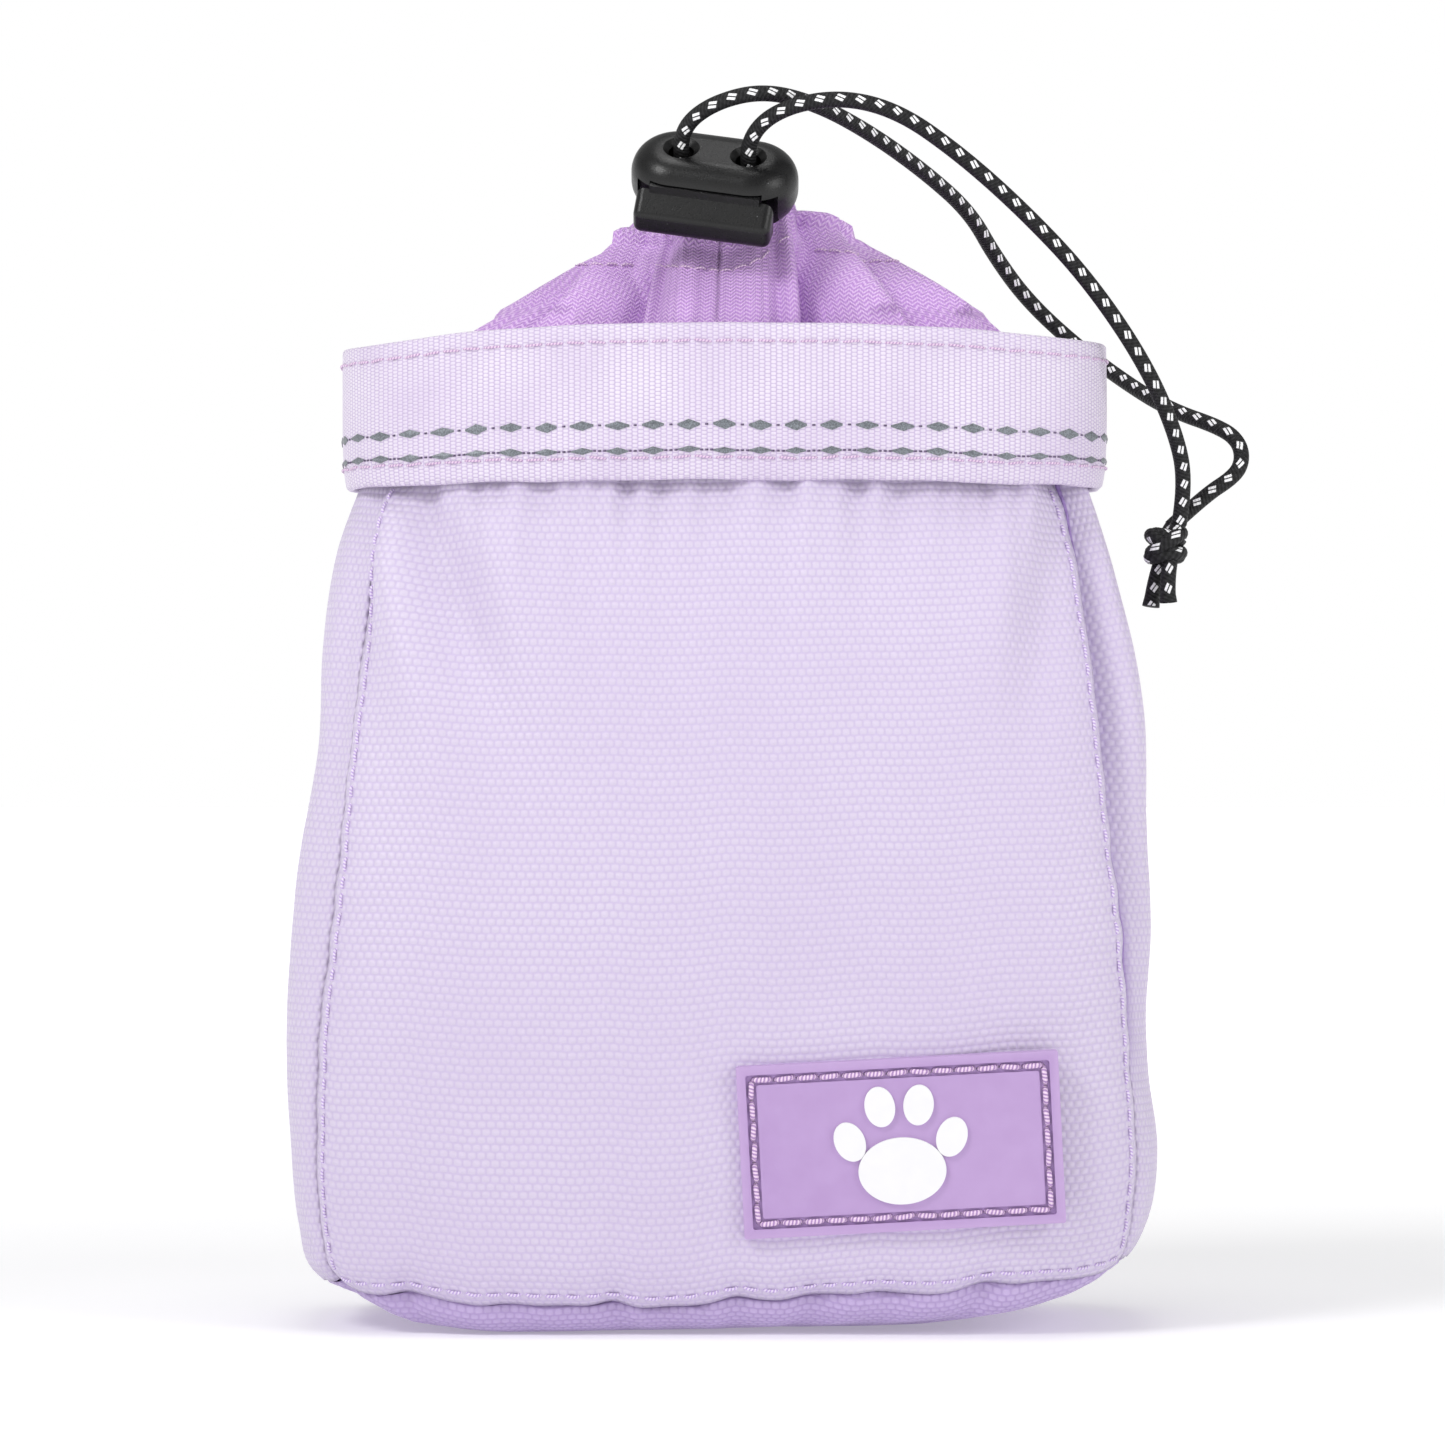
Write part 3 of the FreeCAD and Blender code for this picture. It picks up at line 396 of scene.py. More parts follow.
def grid_normals(grid, wrap_columns=False):
    """Unit normals of a grid, pointing outwards when columns run anticlockwise seen from above."""
    if wrap_columns:
        across = np.roll(grid, -1, axis=1) - np.roll(grid, 1, axis=1)
    else:
        across = np.gradient(grid, axis=1)
    up = np.gradient(grid, axis=0)
    normal = np.cross(across, up)
    return normal / np.maximum(np.linalg.norm(normal, axis=2, keepdims=True), 1e-9)


def smooth_curve(keys, places):
    """A smooth line through (place, value) keys, by cubic pieces."""
    xs = np.array([k[0] for k in keys], dtype=float)
    ys = np.array([k[1] for k in keys], dtype=float)
    slopes = np.gradient(ys, xs)
    places = np.clip(np.asarray(places, dtype=float), xs[0], xs[-1])
    i = np.clip(np.searchsorted(xs, places, side="right") - 1, 0, len(xs) - 2)
    width = xs[i + 1] - xs[i]
    t = (places - xs[i]) / width
    return ((2 * t**3 - 3 * t**2 + 1) * ys[i] + (t**3 - 2 * t**2 + t) * width * slopes[i]
            + (-2 * t**3 + 3 * t**2) * ys[i + 1] + (t**3 - t**2) * width * slopes[i + 1])


def rough(x, y, z=0.0):
    """Smooth noise about -1 to 1."""
    return noise.noise(Vector((x, y, z)))


rough_all = np.vectorize(rough)


def fade(distance, reach):
    return np.exp(-(np.asarray(distance, dtype=float) / reach) ** 2)


def tube_mesh(path, radius, sides=12, start=0, taper=None):
    """Points, faces and uvs of a capped tube along a path of millimetre points."""
    path = [Vector(p) for p in path]
    run = lengths(np.array(path))
    tangents = []
    for i in range(len(path)):
        before, after = path[max(i - 1, 0)], path[min(i + 1, len(path) - 1)]
        tangents.append((after - before).normalized())
    facing = Vector((0.0, -1.0, 0.25))
    side = facing - tangents[0] * facing.dot(tangents[0])
    points, faces, uvs = [], [], []
    for i, (place, along) in enumerate(zip(path, tangents)):
        # The frame is carried along the path and drawn gently back towards the front.
        wanted = facing - along * facing.dot(along)
        side = side + wanted * 0.12
        side = (side - along * side.dot(along)).normalized()
        other = along.cross(side)
        size = radius * (taper[i] if taper is not None else 1.0)
        for k in range(sides):
            angle = 2 * math.pi * (k / sides - 0.25)
            points.append(place + (side * math.cos(angle) + other * math.sin(angle)) * size)
    for i in range(len(path) - 1):
        for k in range(sides):
            after = (k + 1) % sides
            a, b = start + i * sides, start + (i + 1) * sides
            faces.append([a + k, a + after, b + after, b + k])
            low, high = run[i] * MM, run[i + 1] * MM
            uvs.extend([(k / sides, low), ((k + 1) / sides, low), ((k + 1) / sides, high), (k / sides, high)])
    last = start + (len(path) - 1) * sides
    faces.append([start + k for k in reversed(range(sides))])
    faces.append([last + k for k in range(sides)])
    uvs.extend([(0.0, 0.0)] * (2 * sides))
    return points, faces, uvs


def tubes_object(name, paths, radius, material, sides=12, tapers=None):
    """Several capped tubes in one mesh."""
    points, faces, uvs = [], [], []
    for index, path in enumerate(paths):
        taper = tapers[index] if tapers else None
        p, f, t = tube_mesh(path, radius, sides, len(points), taper)
        points += p
        faces += f
        uvs += t
    return make_object(name, points, faces, uvs, material)


def stitch_path(start, end, normal, sink=0.25, rise=0.22, steps=7):
    """One stitch: comes up out of the cloth, lies on it and goes back in."""
    start, end, normal = (np.asarray(v, dtype=float) for v in (start, end, normal))
    path = []
    for i in range(steps):
        t = i / (steps - 1)
        lift = -sink + (sink + rise) * min(1.0, math.sin(math.pi * t) * 1.7)
        path.append(start + (end - start) * t + normal * lift)
    return path


def stitch_row(name, line, normals, pitch, length, radius, material, closed=False, wander=0.12,
               keep=None):
    """Stitches along a line that lies on a surface."""
    line, normals = np.asarray(line, dtype=float), np.asarray(normals, dtype=float)
    if closed:
        line = np.vstack([line, line[:1]])
        normals = np.vstack([normals, normals[:1]])
    run = lengths(line)
    count = max(1, int(round(run[-1] / pitch)))
    chance = random.Random(len(name) * 7 + count)

    def at(distance):
        place = np.array([np.interp(distance, run, line[:, k]) for k in range(3)])
        out = np.array([np.interp(distance, run, normals[:, k]) for k in range(3)])
        return place, out / max(np.linalg.norm(out), 1e-9)

    paths = []
    for i in range(count):
        middle = (i + 0.5) * run[-1] / count
        if keep is not None and not keep[int(np.searchsorted(run, middle)) % len(keep)]:
            continue
        start, out = at(max(0, middle - length / 2))
        end, _ = at(min(run[-1], middle + length / 2))
        shake = np.array([0, 0, chance.uniform(-wander, wander)])
        paths.append(stitch_path(start + shake, end - shake, out))
    return tubes_object(name, paths, radius, material, sides=7)


# ---------------------------------------------------------------- shape of the body

# The plan is squarer low down and rounder under the band.
SHAPE_POWER = [(0, 4.2), (90, 4.2), (134, 2.9), (150, 2.9)]
SIDE_LEFT = [(0, 55), (3, 60.4), (8, 65.2), (16, 67.4), (30, 68.6), (50, 68.8), (72, 67.0), (92, 64.0),
             (106, 63.5), (122, 61.4), (134, 58.4), (150, 58.0)]
SIDE_RIGHT = [(0, 54), (3, 59.0), (8, 63.6), (16, 67.4), (28, 69.0), (40, 67.6), (50, 66.8), (60, 67.0),
              (80, 66.2), (96, 65.8), (106, 64.4), (118, 61.8), (134, 58.6), (150, 58.2)]
DEPTH = [(0, 23), (3, 27.0), (9, 30.4), (20, 32.2), (38, 33), (70, 31.8), (106, 28.4), (122, 26.2),
         (134, 24.6), (150, 24.2)]
SEAM_LEFT = [(0, 58.5), (8, 62.6), (16, 64.0), (34, 64.3), (46, 63.8), (67, 61.4), (88, 59.4), (106, 57.4),
             (134, 54.4), (150, 54)]
SEAM_RIGHT = [(0, 59), (8, 63.4), (18, 65.0), (29, 65.6), (40, 65.0), (64, 63.6), (80, 61.8), (94, 60.4),
              (110, 58.8), (124, 57.2), (134, 55.2), (150, 55)]
WALL_TOP = 141.0
BAND_FOOT = 133.5
WALL_HALF = 62
GUSSET_WIDE = 46
LINING_GAP = 2.0
LINING_TOP = 146.0


def side_at(height, x):
    """Half width of the body on the side where x lies."""
    left = smooth_curve(SIDE_LEFT, height)
    right = smooth_curve(SIDE_RIGHT, height)
    return np.where(x < 0, left, right)


def depth_on(height, x):
    """How far the wall stands in front of the middle plane."""
    ratio = np.clip(np.abs(x) / side_at(height, x), 0, 0.9999)
    power = smooth_curve(SHAPE_POWER, height)
    return smooth_curve(DEPTH, height) * (1 - ratio ** power) ** (1 / power)


SEAM_LOW = [(-66, 7.6), (-60, 5.9), (-51, 5.4), (-36, 4.3), (-17, 4.1), (-7, 3.8), (2, 5.2), (6, 5.0), (14, 5.4),
            (23, 6.3), (33, 6.4), (43, 7.8), (51, 8.1), (58, 9.2), (66, 11.2)]
FLOOR_LIFT = [(-66, 7.0), (-63, 5.6), (-58, 3.4), (-53, 1.3), (-48, 0.7), (-22, 0.3), (0, 0.5), (28, 1.6),
              (42, 2.4), (51, 3.4), (58, 5.2), (63, 7.3), (66, 9.0)]


def bottom_seam(x, front):
    """Height of the seam round the base."""
    if front:
        return smooth_curve(SEAM_LOW, x) + 0.3 * rough_all(x / 5, 3.1)
    return 5.2 + 0.9 * np.clip(smooth_curve(SEAM_LOW, x) - 5.2, 0, None) + 0.4 * rough_all(x / 12, 7.7)


def front_grid(columns=132, rows=132, sign=-1):
    """Undisturbed front (sign -1) or back (sign 1) wall; columns run anticlockwise seen from above."""
    spread = np.linspace(-1, 1, columns) * -sign
    grid = np.zeros((rows, columns, 3))
    for i, t in enumerate(np.linspace(0, 1, rows)):
        low = bottom_seam(spread * WALL_HALF, sign < 0)
        height = low + t * (WALL_TOP - low)
        x = np.where(spread < 0, smooth_curve(SEAM_LEFT, height), smooth_curve(SEAM_RIGHT, height)) * spread
        grid[i, :, 0] = x
        grid[i, :, 1] = sign * depth_on(height, x)
        grid[i, :, 2] = height
    return grid


def gusset_grid(side, front, back, columns=52):
    """Side wall between the front and back walls' edges; side is 1 on the right."""
    edge_front = front[:, -1 if side > 0 else 0]
    edge_back = back[:, 0 if side > 0 else -1]
    rows = front.shape[0]
    grid = np.zeros((rows, columns, 3))
    for i in range(rows):
        height = (edge_front[i, 2] + edge_back[i, 2]) / 2
        half = float(side_at(height, np.array(side * 1.0)))
        deep = float(smooth_curve(DEPTH, height))
        power = float(smooth_curve(SHAPE_POWER, height))
        first = math.acos(min(1, (abs(edge_front[i, 0]) / half) ** (power / 2)))
        angles = np.linspace(-first, first, 160)
        x = half * np.abs(np.cos(angles)) ** (2 / power)
        y = deep * np.sign(np.sin(angles)) * np.abs(np.sin(angles)) ** (2 / power)
        line = resample(np.stack([x * side, y], axis=1), columns)
        if side < 0:
            line = line[::-1]
        grid[i, :, :2] = line
        start, end = (edge_front[i], edge_back[i]) if side > 0 else (edge_back[i], edge_front[i])
        grid[i, :, 2] = np.linspace(start[2], end[2], columns)
        grid[i, 0], grid[i, -1] = start, end
    return grid


# Folds of the front: x at z 110, lean, half width, middle height, reach and depth.
FOLDS = [(-40.5, -0.34, 5.0, 118, 20, -3.0), (-49.5, -0.22, 4.6, 112, 24, 2.4), (-56.5, -0.1, 3.2, 118, 18, -2.0),
         (-31.0, -0.3, 5.5, 120, 18, 1.7), (50.0, 0.12, 5.0, 116, 20, -2.2), (43.0, 0.15, 5.5, 118, 18, 1.4),
         (-20.0, -0.2, 5.0, 124, 12, -1.3), (22.0, 0.1, 5.5, 124, 12, -1.2)]
PATCH_PLACE = (27.6, 30.1)
PATCH_HALF = (26.5, 15.5)


def wall_places(grid):
    """x, z, and the distances below the band, above the base seam and from the nearer side seam."""
    x, z = grid[:, :, 0], grid[:, :, 2]
    columns = np.linspace(-1, 1, grid.shape[1])[None, :] * np.ones_like(x)
    return (x, z, np.clip(BAND_FOOT - z, 0, None), z - grid[0, :, 2][None, :],
            (1 - np.abs(columns)) * WALL_HALF)


def front_relief(grid):
    """How far the front wall's cloth stands out of its plain shape: folds, gathers and puckers."""
    x, z, below_band, above_seam, from_edge = wall_places(grid)
    gathers = rough_all(x / 2.9, 0.6, 2.2) + 0.9 * rough_all(x / 8 + below_band / 60, 0.4, 5.0)
    relief = 2.3 * gathers * np.exp(-below_band / 7.5) - 1.9 * np.exp(-below_band / 4.0)
    folds = rough_all(x / 13 + below_band / 90, z / 60, 1.7)
    relief += 1.7 * folds * np.exp(-below_band / 36)
    relief += 0.9 * rough_all(x / 38, z / 46, 9.0)
    # Long folds that hang from the band near its left end, and one near its right end.
    for place, lean, wide, middle, reach, deep in FOLDS:
        relief += deep * fade(x - place - (z - 110) * lean, wide) * fade(z - middle, reach)
    relief += 0.9 * fade(z - 24, 13) * np.clip(1 - (x / 64) ** 2, 0, 1)
    pulls = rough_all(x / 7, 0.3, 4.4) + 0.6 * rough_all(x / 15, 0.1, 6.1)
    relief += 1.0 * pulls * np.exp(-above_seam / 6.0) - 1.1 * np.exp(-above_seam / 3.0)
    pinches = [(-50, 2.5), (-17, 3.0), (2, 2.2), (13, 1.6), (41, 2.4)]
    for place, deep in pinches:
        relief -= deep * 0.5 * fade(x - place - above_seam * 0.1, 2.6) * np.exp(-above_seam / 7.0)
    ripple = np.sin(z / 1.35 + 2 * rough_all(z / 11, 2.0)) * 0.22 + 0.6 * rough_all(z / 5.5, 8.0)
    relief += 0.55 * ripple * np.exp(-from_edge / 4.5) - 1.35 * np.exp(-from_edge / 1.7)
    near_patch = np.maximum(np.abs(x - PATCH_PLACE[0]) - PATCH_HALF[0], np.abs(z - PATCH_PLACE[1]) - PATCH_HALF[1])
    free = np.clip(near_patch / 9.0, 0, 1)
    return relief * (free * free * (3 - 2 * free))


def gusset_relief(grid, side):
    """Gusset cloth: a valley behind the front seam, soft upright folds and puckers."""
    z = grid[:, :, 2]
    from_front = np.linspace(0, 1, grid.shape[1])[None, :] * np.ones_like(z)
    if side < 0:
        from_front = 1 - from_front
    run = from_front * GUSSET_WIDE
    below_band = np.clip(BAND_FOOT - z, 0, None)
    gathers = rough_all(run / 5.0, 0.2, 3.0 + side)
    relief = 0.9 * gathers * np.exp(-below_band / 9.0) - 1.3 * np.exp(-below_band / 5.0)
    valley = fade(z - 97, 40) * (5.4 if side > 0 else 1.5)
    relief -= valley * fade(run - 3.2, 2.5)
    relief += valley * 0.25 * fade(run - 10.5, 4.5)
    relief += 0.8 * rough_all(run / 17, z / 34, 11.0 + side)
    ripple = np.sin(z / 1.35 + 2 * rough_all(z / 11, 2.0)) * 0.2 + 0.6 * rough_all(z / 5.5, 8.0)
    edge = np.minimum(run, GUSSET_WIDE - run)
    relief += 0.5 * ripple * np.exp(-edge / 4.5) - 1.2 * np.exp(-edge / 1.6)
    above_seam = z - grid[0, :, 2][None, :]
    relief += 0.8 * rough_all(run / 7, 0.9, 5.5) * np.exp(-above_seam / 6.0) - 1.0 * np.exp(-above_seam / 3.0)
    return relief


def back_relief(grid):
    """The back wall's cloth: gathers and puckers, calmer round the belt loop."""
    x, z, below_band, above_seam, from_edge = wall_places(grid)
    relief = 0.9 * rough_all(x / 5.5, 0.6, 12.2) * np.exp(-below_band / 8.5) - 1.4 * np.exp(-below_band / 5.0)
    relief += 0.6 * rough_all(x / 34, z / 40, 19.0)
    relief += 0.8 * rough_all(x / 7, 0.3, 14.4) * np.exp(-above_seam / 6.0) - 1.1 * np.exp(-above_seam / 3.0)
    relief -= 1.3 * np.exp(-from_edge / 1.7)
    loop_near = fade(np.clip(np.abs(x) - 12, 0, None), 8) * fade(np.clip(np.abs(z - 95) - 33, 0, None), 8)
    return relief * (1 - 0.8 * loop_near)


def raise_cloth(grid, relief):
    return grid + grid_normals(grid) * relief[:, :, None]


def weld_edges(front, right, back, left):
    """Neighbouring walls share their seam line, a little inside both."""
    for first, second in ((front, right), (right, back), (back, left), (left, front)):
        shared = (first[:, -1] + second[:, 0]) / 2
        first[:, -1] = shared
        second[:, 0] = shared


def make_walls():
    plain_front, plain_back = front_grid(sign=-1), front_grid(sign=1)
    plain_right = gusset_grid(1, plain_front, plain_back)
    plain_left = gusset_grid(-1, plain_front, plain_back)
    front = raise_cloth(plain_front, front_relief(plain_front))
    back = raise_cloth(plain_back, back_relief(plain_back))
    right = raise_cloth(plain_right, gusset_relief(plain_right, 1))
    left = raise_cloth(plain_left, gusset_relief(plain_left, -1))
    weld_edges(front, right, back, left)
    return (front, right, back, left), (plain_front, plain_right, plain_back, plain_left)


def make_base(walls):
    """Base panel: a lip under the seam that rolls down towards the floor, then flat to the middle."""
    ring = np.vstack([wall[0, :-1] for wall in walls])
    middle = np.array([ring[:, 0].mean(), ring[:, 1].mean()])
    rows = [(0.5, 0.97), (0.3, 0.78), (0.8, 0.52), (1.9, 0.28), (3.8, 0.1), (6.5, 0.0)]
    out = np.stack([ring[:, 0] - middle[0], ring[:, 1] - middle[1]], axis=1)
    out /= np.linalg.norm(out, axis=1, keepdims=True)
    # The front edge and the corners lift off the floor.
    toward_front = np.maximum(np.clip(0.5 - ring[:, 1] / 40, 0, 1), np.clip((np.abs(ring[:, 0]) - 40) / 15, 0, 1))
    lift = smooth_curve(FLOOR_LIFT, ring[:, 0]) * toward_front + 0.8 * (1 - toward_front)
    lift = np.minimum(lift, ring[:, 2] - 1.8)
    level = [ring.copy()]
    level[0][:, :2] -= out * 0.9
    corner = np.clip((np.abs(ring[:, 0]) - 48) / 12, 0, 1)[:, None]
    for inset, share in rows:
        line = ring.copy()
        line[:, :2] -= out * (inset + 2.5 * corner * (1 - share))
        line[:, 2] = lift + (ring[:, 2] - lift) * share
        level.append(line)
    flat = level[-1].copy()
    for share in (0.9, 0.75, 0.55, 0.3, 0.02):
        line = flat.copy()
        line[:, :2] = middle + (flat[:, :2] - middle) * share
        line[:, 2] = flat[:, 2] * max(0.0, (share - 0.4) / 0.6) ** 2
        level.append(line)
    grid = np.array(level)
    # The weave follows the panel, not the ring.
    uv = [[(p[0] * MM, (p[1] - p[2]) * MM) for p in row] + [(row[0][0] * MM, (row[0][1] - row[0][2]) * MM)]
          for row in grid]
    return grid, sheet_object("base_cloth", grid, BASE_FABRIC_PAINTED_SHADE, wrap_columns=True, uv=uv)


def make_body():
    walls, plain = make_walls()
    front, right, back, left = walls
    names = (("front_cloth", front, "front_panel"), ("right_cloth", right, "right_gusset"),
             ("back_cloth", back, "back_panel"), ("left_cloth", left, "left_gusset"))
    for name, grid, node in names:
        cloth = GUSSET_FABRIC_SEAM_SHADED if name == "right_cloth" else FABRIC
        piece = sheet_object(name, grid, cloth, thick=0.9)
        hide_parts(node)
    base_grid, base = make_base(walls)
    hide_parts("base_panel")
    return walls, plain, base_grid


def make_lining(walls, plain_walls, base_grid):
    """Lining just inside the body cloth: a wall up to the collar and a floor."""
    rows = [(wall - grid_normals(plain) * LINING_GAP)[:, :-1] for wall, plain in zip(walls, plain_walls)]
    ring = np.concatenate(rows, axis=1)[2:]
    middle = np.array([0.0, 0.0])
    out = ring[:, :, :2] - middle
    out /= np.linalg.norm(out, axis=2, keepdims=True)
    # Room is left under the band for the sewn-in end of the collar.
    room = np.clip((ring[:, :, 2] - 128) / 12, 0, 1)[:, :, None] * 0.4
    ring[:, :, :2] -= out * room
    top = ring[-1:].copy()
    top[:, :, 2] = LINING_TOP
    ring = np.concatenate([ring, top], axis=0)
    wall = sheet_object("lining_cloth", ring, LINING, thick=0.3, wrap_columns=True)
    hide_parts("lining_wall")
    low = ring[0]
    levels = [low]
    for under in base_grid[4:]:
        line = under.copy()
        line[:, :2] = middle + (under[:, :2] - middle) * 0.955
        line[:, 2] += LINING_GAP
        levels.append(line)
    floor = sheet_object("lining_floor", np.array(levels), LINING, wrap_columns=True)
    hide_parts("lining_base")


def make_body_seams(walls):
    """Topstitching just inside the front wall's side edges and along the base."""
    front, _, back, _ = walls
    for name, wall, column in (("seam_stitch_left", front, 2), ("seam_stitch_right", front, -3),
                               ("seam_stitch_back_left", back, -3), ("seam_stitch_back_right", back, 2)):
        normals = grid_normals(wall)
        stitch_row(name, wall[3:-8, column], normals[3:-8, column], 2.9, 2.2, 0.26, FABRIC_THREAD)
    for name, wall in (("seam_stitch_front_base", front), ("seam_stitch_back_base", back)):
        normals = grid_normals(wall)
        stitch_row(name, wall[2, 2:-2], normals[2, 2:-2], 3.1, 2.3, 0.26, FABRIC_THREAD)


# ---------------------------------------------------------------- rim band

BAND_HALF = (60.9, 26.1)
BAND_POWER = 3.0
BAND_TALL = 24.6
BAND_THICK = 1.5
BAND_DROOP = [(0, 0.0), (20, 0.4), (39, 1.4), (50, 2.5), (56, 3.1), (62, 3.4)]


def ring_line(half_x, half_y, power, count, centre=(0.0, 0.0)):
    """A closed super-ellipse from the back's middle, anticlockwise seen from above."""
    angles = np.linspace(0, 2 * math.pi, 2400, endpoint=False) + math.pi / 2
    x = half_x * np.sign(np.cos(angles)) * np.abs(np.cos(angles)) ** (2 / power) + centre[0]
    y = half_y * np.sign(np.sin(angles)) * np.abs(np.sin(angles)) ** (2 / power) + centre[1]
    return resample(np.stack([x, y], axis=1), count, closed=True)


BAND_COUNT = 440
BAND_LINE = ring_line(*BAND_HALF, BAND_POWER, BAND_COUNT, (0.3, 0.0))


def band_frame(index):
    """Place and outward direction on the band's plan."""
    index = np.asarray(index)
    line = BAND_LINE
    place = line[index % BAND_COUNT]
    along = line[(index + 1) % BAND_COUNT] - line[(index - 1) % BAND_COUNT]
    along = along / np.linalg.norm(along, axis=-1, keepdims=True)
    return place, np.stack([along[..., 1], -along[..., 0]], axis=-1)


def band_point(index, up, out):
    """A point up the band's width (0 bottom, BAND_TALL top) and out of its outer face, mm."""
    place, outward = band_frame(index)
    x, y = place[..., 0], place[..., 1]
    droop = np.where(x < 0, 1.0, 0.72) * smooth_curve(BAND_DROOP, np.abs(x))
    top = 157.9 - droop + 0.25 * rough_all(x / 14, y / 14, 1.0)
    bottom = 133.3 - 0.75 * droop * 0.4 + 0.3 * rough_all(x / 10, y / 10, 4.0)
    share = up / BAND_TALL
    height = bottom + share * (top - bottom)
    bulge = 0.35 * rough_all(x / 7.5, y / 9, 6.0) * math.sin(math.pi * min(max(share, 0), 1))
    tuck = -0.7 * math.exp(-max(share, 0) * BAND_TALL / 3.0)
    reach = out + bulge + tuck
    return np.stack([x + outward[..., 0] * reach, y + outward[..., 1] * reach, height], axis=-1)


def make_band():
    """Webbing ring: outer face, rounded edges and inner face."""
    columns = np.arange(BAND_COUNT)
    r = BAND_THICK / 2
    profile = [(up, 0.0) for up in np.linspace(r * 0.6, BAND_TALL - r * 0.6, 26)]
    profile += [(BAND_TALL - 0.1, -r * 0.35), (BAND_TALL, -r), (BAND_TALL - 0.1, -r * 1.65)]
    profile += [(up, -BAND_THICK) for up in np.linspace(BAND_TALL - r * 0.6, r * 0.6, 12)]
    profile += [(0.1, -r * 1.65), (0.0, -r), (0.1, -r * 0.35)]
    grid = np.array([band_point(columns, up, out) for up, out in profile])
    around = round_lengths(BAND_LINE)
    across = lengths(np.array(profile + profile[:1]))
    # Whole ribs round the ring, so that the weave meets itself.
    around *= round(around[-1] / WEBBING_RIB) * WEBBING_RIB / around[-1]
    uv = [[(a * MM, b * MM) for a in around] for b in across]
    piece = sheet_object("rim_webbing", grid, WEBBING, wrap_rows=True, wrap_columns=True,
                         uv=uv)
    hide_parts("rim_band")
    return piece


def band_lines(up, out=0.0):
    columns = np.arange(BAND_COUNT)
    line = band_point(columns, up, out)
    _, outward = band_frame(columns)
    return line, np.column_stack([outward, np.zeros(BAND_COUNT)])


def band_spot(distance, up, out):
    """A point on the band by distance round it, and its directions along and out."""
    step = round_lengths(BAND_LINE)[-1] / BAND_COUNT
    index = distance / step
    low = int(math.floor(index))
    t = index - low
    here = band_point(np.array([low, low + 1]), up, out)
    _, outward = band_frame(np.array([low, low + 1]))
    place = here[0] * (1 - t) + here[1] * t
    along = here[1] - here[0]
    normal = outward[0] * (1 - t) + outward[1] * t
    return place, along / np.linalg.norm(along), np.array([normal[0], normal[1], 0.0])


def make_tracers():
    """Two rows of reflective diamonds woven into the band, with a thread dot between them."""
    around = round_lengths(BAND_LINE)[-1]
    count = round(around / 5.6)
    up_axis = np.array([0, 0, 1.0])
    chance = random.Random(11)
    for name, up, long, tall in (("tracer_upper", 8.6, 1.85, 0.78), ("tracer_lower", 4.6, 1.75, 0.6)):
        points, faces = [], []
        for i in range(count):
            distance = i * around / count
            place, along, out = band_spot(distance, up + chance.uniform(-0.08, 0.08), 0.1)
            wide = long * chance.uniform(0.9, 1.08)
            high = tall * chance.uniform(0.85, 1.1)
            first = len(points)
            corners = [(-1, -0.18), (-0.35, -0.72), (0.1, -1), (0.5, -0.6), (1, -0.2), (1, 0.22),
                       (0.4, 0.7), (0, 1), (-0.45, 0.6), (-1, 0.2)]
            points.append(place + out * 0.16)
            points += [place + along * a * wide + up_axis * b * high for a, b in corners]
            points += [place + along * a * wide + up_axis * b * high - out * 0.5 for a, b in corners]
            size = len(corners)
            for k in range(size):
                after = (k + 1) % size
                faces.append([first, first + 1 + k, first + 1 + after])
                faces.append([first + 1 + k, first + 1 + size + k, first + 1 + size + after, first + 1 + after])
        uvs = [(0.0, 0.0)] * sum(len(f) for f in faces)
        make_object(name, points, faces, uvs, REFLECT, smooth=False)
        dots = []
        for i in range(count):
            for shift in ((2.8,) if name == "tracer_upper" else (2.0, 2.8, 3.6)):
                place, along, out = band_spot(i * around / count + shift, up, 0.02)
                dots.append([place - along * 0.22, place + out * 0.06, place + along * 0.22])
        tubes_object(f"{name}_ties", dots, 0.16, TIE_THREAD, sides=6)


TIE_THREAD = sewing_thread("dark_tie_thread", "4D3F5C", "6E5C80")


def make_rim_stitches():
    for name, up, node in (("rim_seam_top", 21.7, "rim_top_stitches"), ("rim_seam_low", 3.5, "rim_bottom_stitches")):
        line, normals = band_lines(up, 0.04)
        piece = stitch_row(name, line, normals, 3.3, 2.7, 0.2, THREAD, closed=True, wander=0.18)
        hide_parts(node)


# ---------------------------------------------------------------- collar

COLLAR_COUNT = 640
CONE_STEPS = 34
NECK = (0.8, 1.6)
NECK_RADIUS = 13.4
COLLAR_BASE = (57.4, 22.6)
COLLAR_FOOT = 146
# Half width of the collar's front panel along the sewn-in ring, mm.
PANEL_HALF = 16.0
# Half width of the cone at heights from the sewn-in ring to the hem, on each side.
CONE_LEFT = [(146, 57.4), (152, 47.0), (158, 38.2), (162, 31.4), (166, 26.0), (170, 20.6), (173.5, 14.6)]
CONE_RIGHT = [(146, 57.4), (152, 50.0), (158, 42.0), (162, 36.8), (166, 30.6), (170, 23.8), (173.5, 17.6)]
# The hem from the outside over the top and down into the throat: radius share and drop below the top, mm.
HEM_ROWS = [(1.0, 2.6), (1.03, 1.2), (1.0, 0.35), (0.92, 0.0), (0.82, 0.3), (0.72, 1.3), (0.62, 2.9), (0.53, 4.8),
            (0.46, 7.0)]


def neck_angle(place, half):
    """Where a point of the sewn-in ring (mm from the front's middle, anticlockwise) goes round the hem."""
    panel = math.radians(64)
    if abs(place) < PANEL_HALF:
        return place / PANEL_HALF * panel
    rest = (abs(place) - PANEL_HALF) / (half - PANEL_HALF)
    return math.copysign(panel + rest * (math.pi - panel), place)


